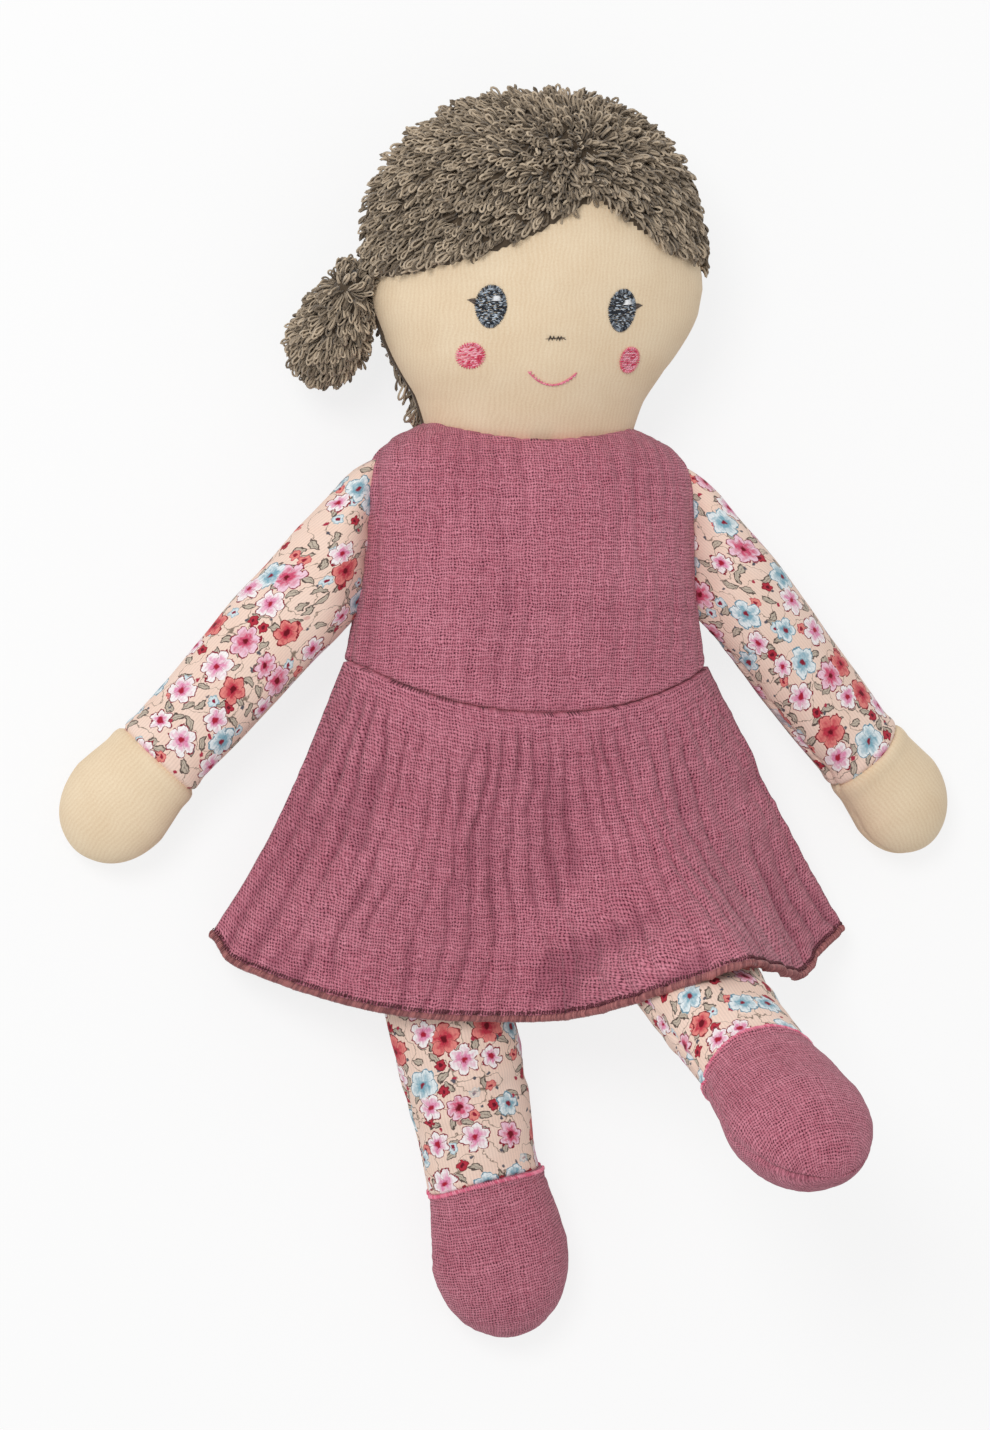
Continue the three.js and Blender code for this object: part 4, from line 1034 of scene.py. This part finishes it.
edge_stitch = strand("edge_stitch", [(0, -0.45, -0.25), (0, -0.2, 0.12), (0, 0.2, 0.16), (0, 0.45, -0.2)], 0.26)
for side, half in (("right", -1), ("left", 1)):
    pivot = np.array([half * leg_spacing / 2, hip_y, seam_height])
    place = limb_frame(pivot, leg_spread[side])
    start, end = pivot + (0, 13, 0), pivot - (0, 9, 0)
    hinge = (pivot, (-1, 0, 0), hip_fold[side], start, end)

    points = tube(leg_size, level(leg_root), shoe_line, leg_turn, leg_rows)
    length = shoe_line(points[..., 0]) - leg_root
    from_root, from_shoe = leg_rows[:, None] * length, (1 - leg_rows[:, None]) * length
    points[..., 2] *= 0.3 + 0.7 * np.sin(np.clip(from_root / 14, 0, 1) * math.pi / 2)
    uv = laid_flat(points) + (120 + 70 * half, 0)
    relief = stuffed_relief(points, leg_turn, 120 + half, lump=0.6)
    relief += 0.5 * noise(points[..., 0] / 9, points[..., 1] / 4, 124) * near(points[..., 1] - 55, 14)
    relief -= 0.9 * near(from_shoe, 0.7)
    points = on_floor(folded(placed(raised(points, relief), place), *hinge))
    points, uv = capped(points, uv)
    cover = grid_piece("leg_cover_" + side, points, uv, jersey)
    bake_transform(cover, "torso", "leg_" + side, **in_metres(start, end))
    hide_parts("leg_front_" + side, "leg_back_" + side, "leg_stuffing_" + side)

    # Shoe: muslin, front and back, its upper edge turned out over the jersey in a narrow fold.
    shares = even_shares(leg_size, shoe_start, shoe_end, 0.55)
    points = tube(leg_size, lambda x: shoe_line(x) - 0.6, level(shoe_end), leg_turn, shares)
    from_edge = points[..., 1] - shoe_line(points[..., 0])
    uv = laid_flat(points)
    wide, _ = leg_size(points[..., 1])
    relief = stuffed_relief(points, leg_turn, 130 + half, lump=0.45)
    relief += crinkle(uv[..., 0], uv[..., 1], 134, fine=0.1, crease=0.1, broad=0.15)
    relief *= np.clip(wide / 6, 0, 1)
    relief += 0.3 * near(from_edge - 0.4, 0.8) - 0.2 * near(from_edge - 1.9, 0.6)
    points = on_floor(folded(placed(raised(points, relief), place), *hinge))
    shoe = grid_piece("shoe_" + side, *capped(points, uv), muslin)
    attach(shoe, "leg_" + side)
    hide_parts("shoe_front_" + side, "shoe_back_" + side)

    # The shoe's upper edge is bound with a narrow row of coral thread.
    picks = np.random.default_rng(136)
    rim, out = points[1], normals_of(points, True)[1]
    down = points[3] - rim
    down /= np.linalg.norm(down, axis=1, keepdims=True)
    slant = down + np.roll(rim, -1, 0) - rim
    tone = picks.uniform(0, 1, len(rim))
    size = picks.uniform(0.9, 1.1, (len(rim), 1))
    binding = repeat("shoe_edge_" + side + "_stitches", rim, slant, out, size, tone, edge_stitch, coral_thread)
    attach(binding, "leg_" + side)
bpy.data.objects.remove(edge_stitch)

# Skirt
# A front and a back panel of the muslin, sewn to the waist seam above and to each other at the sides. The
# front lies over both thighs and rides up over the lifted one. It is made in two halves, each for its leg.

skirt_length, skirt_top = 71.0, 89.3  # the top is from the waist arc's centre
skirt_half_angle = 30
front_half, back_whole, cut_length, cut_share = 0.080, 0.160, 0.071, 0.82  # as cut, in metres, and its flare
cloth_thickness = 1.0
hem_search = (40, 76, 0.5)  # down from the waist seam: from, to and in steps of
middle_fade, side_fade = 26, 16  # over which a leg's pull dies out
drag_folds = [  # that the lifted leg pulls into the front: two ends in plan, a width and a height
    ((10, -92), (33, -72), 4.5, 1.7),
    ((-4, -84), (22, -64), 5.0, 1.3),
    ((24, -96), (44, -80), 4.0, 1.5),
    ((62, -88), (52, -62), 4.5, 1.6),
    ((44, -58), (64, -50), 4.0, 1.0),
    ((48, -42), (60, -36), 4.0, 0.8),
    ((-52, -84), (-44, -60), 5.0, 1.0),
]


def skirt_plan(u, d):
    """Where a place of the skirt lies in plan: u from -1 to 1 across, d mm from the waist arc's centre."""
    down = np.clip((d - skirt_top) / skirt_length, 0, 1)
    turn = u * np.radians(skirt_half_angle - 0.8 * np.sin(math.pi * down))
    drop = np.where(u < 0, 8, 3) * down * np.sin(math.pi / 2 * u) ** 2
    sway = 5 * np.sin(math.pi / 2 * down)
    return sway + d * np.sin(turn), waist_apex - drop - d * np.cos(turn)


def seen_heights(solids, x, y, from_above):
    """The heights at which a ray from above or below meets the solids."""
    start, way = (0.5, -1) if from_above else (-0.5, 1)
    hits = [solid.ray_cast(Vector((x * MM, y * MM, start)), Vector((0, 0, way)))[0] for solid in solids]
    return [hit.z / MM for hit in hits if hit is not None]


def eased_grid(values, rows, columns):
    """A grid smoothed by running means, with its edges held."""
    for axis, reach in ((0, rows), (1, columns)):
        for _ in range(3):
            padding = [(0, 0), (0, 0)]
            padding[axis] = (reach, reach)
            padded = np.pad(values, padding, mode="reflect", reflect_type="odd")
            total = np.cumsum(np.insert(padded, 0, 0, axis), axis)
            size = values.shape[axis]
            high = np.take(total, np.arange(2 * reach + 1, 2 * reach + 1 + size), axis)
            values = (high - np.take(total, np.arange(size), axis)) / (2 * reach + 1)
    return values


def panel_grid(node, hem, from_above, across=120, rows=60):
    """The x, y and z of even rows on a skirt panel of the frame, from the waist to the hem, and their plan."""
    solids = []
    for name in (node, hem):
        shape = bmesh.new()
        shape.from_mesh(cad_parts[name].data)
        bmesh.ops.remove_doubles(shape, verts=shape.verts, dist=1e-7)
        solids.append(BVHTree.FromBMesh(shape))
        shape.free()
    u = np.linspace(-1, 1, across)
    reach, tried = [], np.arange(skirt_top + hem_search[0], skirt_top + hem_search[1], hem_search[2])
    for inside in u * 0.995:
        found = [d for d in tried if seen_heights(solids, *skirt_plan(inside, d), from_above)]
        reach.append(found[-1] if found else tried[0])
    reach = eased_grid(np.array(reach)[None, :], 0, 4)[0]
    d = skirt_top + (reach - skirt_top) * np.linspace(0, 1, rows)[:, None]
    u = np.broadcast_to(u, d.shape)
    x, y = skirt_plan(u, d)
    z = np.full(d.shape, np.nan)
    for i, j in np.ndindex(d.shape):
        spot = skirt_plan(u[i, j] * 0.995, min(d[i, j], reach[j] - 0.6))
        found = seen_heights(solids, *spot, from_above)
        if found:
            z[i, j] = max(found) if from_above else min(found)
    for j in range(across):
        good = ~np.isnan(z[:, j])
        z[:, j] = np.interp(np.arange(rows), np.flatnonzero(good), z[good, j])
    return x, y, z, u, d


def refined(values, rows, columns):
    """A grid of values read at more rows and columns, smoothly."""
    old_rows, old_columns = values.shape
    at = np.linspace(0, old_columns - 1, columns)
    wide = np.stack([np.interp(at, np.arange(old_columns), line) for line in values])
    at = np.linspace(0, old_rows - 1, rows)
    return np.stack([np.interp(at, np.arange(old_rows), line) for line in wide.T], 1)


def folds_at(x, y):
    """The height of the dragged folds at places in plan."""
    total = np.zeros(x.shape)
    for (ax, ay), (bx, by), width, height in drag_folds:
        way = np.array([bx - ax, by - ay], float)
        length = np.hypot(*way)
        way /= length
        along = ((x - ax) * way[0] + (y - ay) * way[1]) / length
        off = -(x - ax) * way[1] + (y - ay) * way[0]
        shape = near(off, width) - 0.6 * near(off + 1.5 * width, width)
        total += height * shape * np.exp(-(((along - 0.5) / 0.45) ** 4))
    return total


def follow_leg(piece, side, points):
    """Makes a skirt piece follow a leg, with a pull that dies out towards the middle line and the side seam,
    where the rest of the skirt holds it."""
    x = (-1 if side == "right" else 1) * leg_spacing / 2 * MM
    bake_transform(piece, "torso", "leg_" + side, start=(x, -0.045, 0.023), end=(x, -0.090, 0.023))
    layer = piece.data.attributes["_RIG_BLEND"]
    values = np.zeros(len(piece.data.vertices), np.float32)
    layer.data.foreach_get("value", values)
    spots = np.array([v.co for v in piece.data.vertices]) / MM
    side_seam = 0 if side == "right" else -1
    for column, reach in ((points.shape[1] // 2, middle_fade), (side_seam, side_fade)):
        away = np.sqrt(np.min([((spots - spot) ** 2).sum(1) for spot in points[::2, column]], axis=0))
        away = np.clip((away - 1.2) / reach, 0, 1)
        values = values * away**2 * (3 - 2 * away)
    layer.data.foreach_set("value", values.astype(np.float32))


front = panel_grid("skirt_front", "hem_overlock_front", True)
back = panel_grid("skirt_back", "hem_overlock_back", False)
joined = np.abs(back[3]) ** 12  # the panels meet at the side seams
depth = back[4] * (1 - joined) + front[4] * joined
back = (*skirt_plan(back[3], depth), back[2] * (1 - joined) + (front[2] - 0.9) * joined, back[3], depth)
sheets = {}
for node, (x, y, z, u, d) in (("skirt_front", front), ("skirt_back", back)):
    above = node == "skirt_front"
    z, u, d = (refined(values, 150, 340) for values in (eased_grid(z, 2, 3), u, d))
    down = (d - skirt_top) / skirt_length
    # The front's left corner hangs down in a tip with a notch beside it, and the right corner turns up.
    tip = 2.6 * near(u - 0.76, 0.09) - 2.2 * near(u - 0.56, 0.1) if above else 0
    x, y = skirt_plan(u, d + np.clip(down, 0, 1) ** 3 * (tip - 3.4 * near(u + 1, 0.045)))
    points = np.stack([x, y, z], -1)
    uv = np.stack([u * math.radians(skirt_half_angle) * d, -d], -1)
    normals = normals_of(points, False)
    normals *= 1.0 if (normals[..., 2].sum() > 0) == above else -1.0
    free = np.clip(down * 8, 0, 1)
    relief = crinkle(u * 74, uv[..., 1], 140 + above, fine=0.2, crease=1.5, broad=0.7) * free
    relief += 0.7 * noise(uv[..., 0] / 2.2, uv[..., 1] / 9, 147) * np.exp(-down * 8) * free
    relief = relief + folds_at(x, y) * free if above else np.clip(relief * 0.5, -0.4, 0.4)
    points = points + relief[..., None] * normals
    points[..., 2] = np.maximum(points[..., 2], 0.9 if above else 0.05)
    rise = points[:1] - points[6:7]
    tucked = points[:1] - normals[:1] * 2.2
    tucked[..., :2] += 0.9 * rise[..., :2] / np.linalg.norm(rise, axis=-1, keepdims=True)
    sheets[node] = [np.concatenate([v[:1], v]) for v in (points, uv, normals, relief)]
    sheets[node][0][:1] = tucked

for node, side in (("skirt_front", "right"), ("skirt_front", "left"), ("skirt_back", "")):
    points, uv, normals, relief = sheets[node]
    middle = points.shape[1] // 2
    part = {"right": slice(0, middle + 1), "left": slice(middle, None), "": slice(None)}[side]
    outer = points[:, part]
    inner = outer - normals[:, part] * cloth_thickness
    ring, ring_uv, deep = (
        np.concatenate([one, other[:, ::-1]], 1)
        for one, other in ((outer, inner), (uv[:, part],) * 2, (relief[:, part],) * 2)
    )
    ends = [(row + row[:, ::-1]) / 2 for row in (ring[:1], ring[-1:])]
    ring = np.concatenate([ends[0], ring, ends[1]])
    ring_uv = np.concatenate([ring_uv[:1], ring_uv, ring_uv[-1:]])
    deep = np.pad(deep, ((1, 1), (0, 0)), mode="edge")
    cloth = grid_piece(node + "_" + (side or "cloth"), ring, ring_uv, muslin, relief=deep)
    if side:
        follow_leg(cloth, side, points)
    else:
        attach(cloth, "torso")
    if side != "left":
        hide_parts(node)
    width, under = (front_half, "leg_cover_" + side) if side else (back_whole, "floor")

# Hem overlock
# The skirt's raw edge is bound by an overlock machine: slanted threads, close together, that wrap the edge
# and roll it a little. A row of needle holes runs above them.

wrap = [
    (0.0, 1.3, -0.1), (0.05, 0.9, 0.35), (0.1, 0.3, 0.45), (0.12, -0.25, 0.1), (0.15, -0.3, -0.7),
    (0.2, 0.1, -1.3), (0.3, 1.1, -1.4),
]
wrap_strand = strand("wrap", wrap, [0.12, 0.2, 0.22, 0.22, 0.22, 0.2, 0.12])
needle_stitch = strand("needle_stitch", [(0, 1.35, 0.05), (0, 1.6, 0.3), (0, 1.85, 0.3), (0, 2.1, 0.05)], 0.17)
hem_rows = (  # the strand, mm from one to the next, how it leans and its darkest and lightest tone
    ("_stitches", wrap_strand, 0.4, 0.35, (0.2, 1.0)),
    ("_needle_row", needle_stitch, 0.66, 0.1, (-0.6, 0.0)),
)

# Spun polyester thread, brown with a cast of rose: slightly lustrous, darker where it dips to the needle.
overlock_thread = thread("spun_polyester_overlock", "#5f2630", "#bf7a78")
for panel, side in (("front", "right"), ("front", "left"), ("back", "")):
    points, _, normals, _ = sheets["skirt_" + panel]
    edge, out = points[-1], normals[-1]
    up_cloth = points[-4] - edge
    up_cloth /= np.linalg.norm(up_cloth, axis=1, keepdims=True)
    run = np.concatenate([[0], np.cumsum(np.linalg.norm(np.diff(edge, axis=0), axis=1))])
    start, end = {"right": (0, 0.5), "left": (0.5, 1), "": (0, 1)}[side]
    for row, source, pitch, lean, tones in hem_rows:
        spots = np.arange(start * run[-1], end * run[-1], pitch)
        picks = np.random.default_rng(150)
        at, above, outward = (
            np.stack([np.interp(spots, run, line) for line in values.T], 1) for values in (edge, up_cloth, out)
        )
        slant = above + np.cross(above, outward) * (lean + picks.normal(0, 0.05, (len(spots), 1)))
        size = picks.uniform(0.92, 1.08, (len(spots), 1))
        tone = picks.uniform(*tones, len(spots))
        name = "hem_overlock_" + panel + ("_" + side if side else "") + row
        binding = repeat(name, at, slant, outward, size, tone, source, overlock_thread)
        if side:
            follow_leg(binding, side, points)
        else:
            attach(binding, "torso")
        if side != "left" and source == wrap_strand:
            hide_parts("hem_overlock_" + panel)
bpy.data.objects.remove(wrap_strand)
bpy.data.objects.remove(needle_stitch)

# Floor, light and camera
# The doll lies on white paper in soft light from above and a little from the upper left. The camera looks
# straight down, 13 degrees round to the doll's right.

corners = [(x, y, -0.2 * MM) for x, y in ((-3, -3), (3, -3), (3, 3), (-3, 3))]
floor = bpy.data.meshes.new("floor")
floor.from_pydata(corners, [], [(0, 1, 2, 3)])

# White paper: a matt sheet that keeps the doll's shadow and that the camera and reflections see near white.
paper, node = new_finish("white_paper")
paper.node_tree.nodes.clear()
diffuse = node("BsdfDiffuse", {"Color": "#f4f4f4"})
glow = node("Emission", {"Color": (1, 1, 1, 1), "Strength": 1.0})
path = node("LightPath").node.outputs
seen = node("Math", (path["Is Camera Ray"], path["Is Glossy Ray"]), operation="MAXIMUM")
seen = node("Math", (seen, path["Is Transmission Ray"]), operation="MAXIMUM")
seen = node("Math", (seen, 0.8), operation="MULTIPLY")
both = node("MixShader", (seen, diffuse, glow))
node("OutputMaterial", {"Surface": both})
floor.materials.append(paper)
in_scene("floor", floor)

world = bpy.data.worlds.new("studio")
bpy.context.scene.world = world
world.use_nodes = True
world.node_tree.nodes.clear()
node = partial(add, world.node_tree)
soft = node("Background", {"Color": (1, 1, 1, 1), "Strength": 0.6})
white = node("Background", {"Color": (1, 1, 1, 1), "Strength": 1.0})
path = node("LightPath").node.outputs
both = node("MixShader", (path["Is Camera Ray"], soft, white))
node("OutputWorld", {"Surface": both})
lamp = bpy.data.lights.new("key", "AREA")
lamp.shape, lamp.size, lamp.energy = "DISK", 0.5, 7.0
key = in_scene("key", lamp)
key.location = (-0.52, 0.4, 1.12)
key.rotation_euler = (-key.location).to_track_quat("-Z", "Y").to_euler()

photo_width, photo_height, pixels_to_mm = 990, 1430, 4.167
stand, tilt, roll = 1100.0, math.radians(13), math.radians(0.9)
target, target_pixel = Vector((0, 0, 22)), (526, 600)  # a place in the chest and where the photograph has it
lens = bpy.data.cameras.new("camera")
camera = in_scene("camera", lens)
bpy.context.scene.camera = camera
lens.sensor_width = 36.0
lens.lens = pixels_to_mm * stand * lens.sensor_width / photo_height
back = Vector((-math.sin(tilt), 0, math.cos(tilt)))
right = Vector((math.cos(tilt), 0, math.sin(tilt)))
up = Vector((0, 1, 0))
right, up = right * math.cos(roll) + up * math.sin(roll), up * math.cos(roll) - right * math.sin(roll)
off = right * (photo_width / 2 - target_pixel[0]) - up * (photo_height / 2 - target_pixel[1])
eye = target + back * stand
back = (eye - target - off / pixels_to_mm).normalized()
right = up.cross(back).normalized()
up = back.cross(right)
camera.matrix_world = Matrix.Translation(eye * MM) @ Matrix((right, up, back)).transposed().to_4x4()
bpy.context.scene.view_settings.view_transform = "Standard"
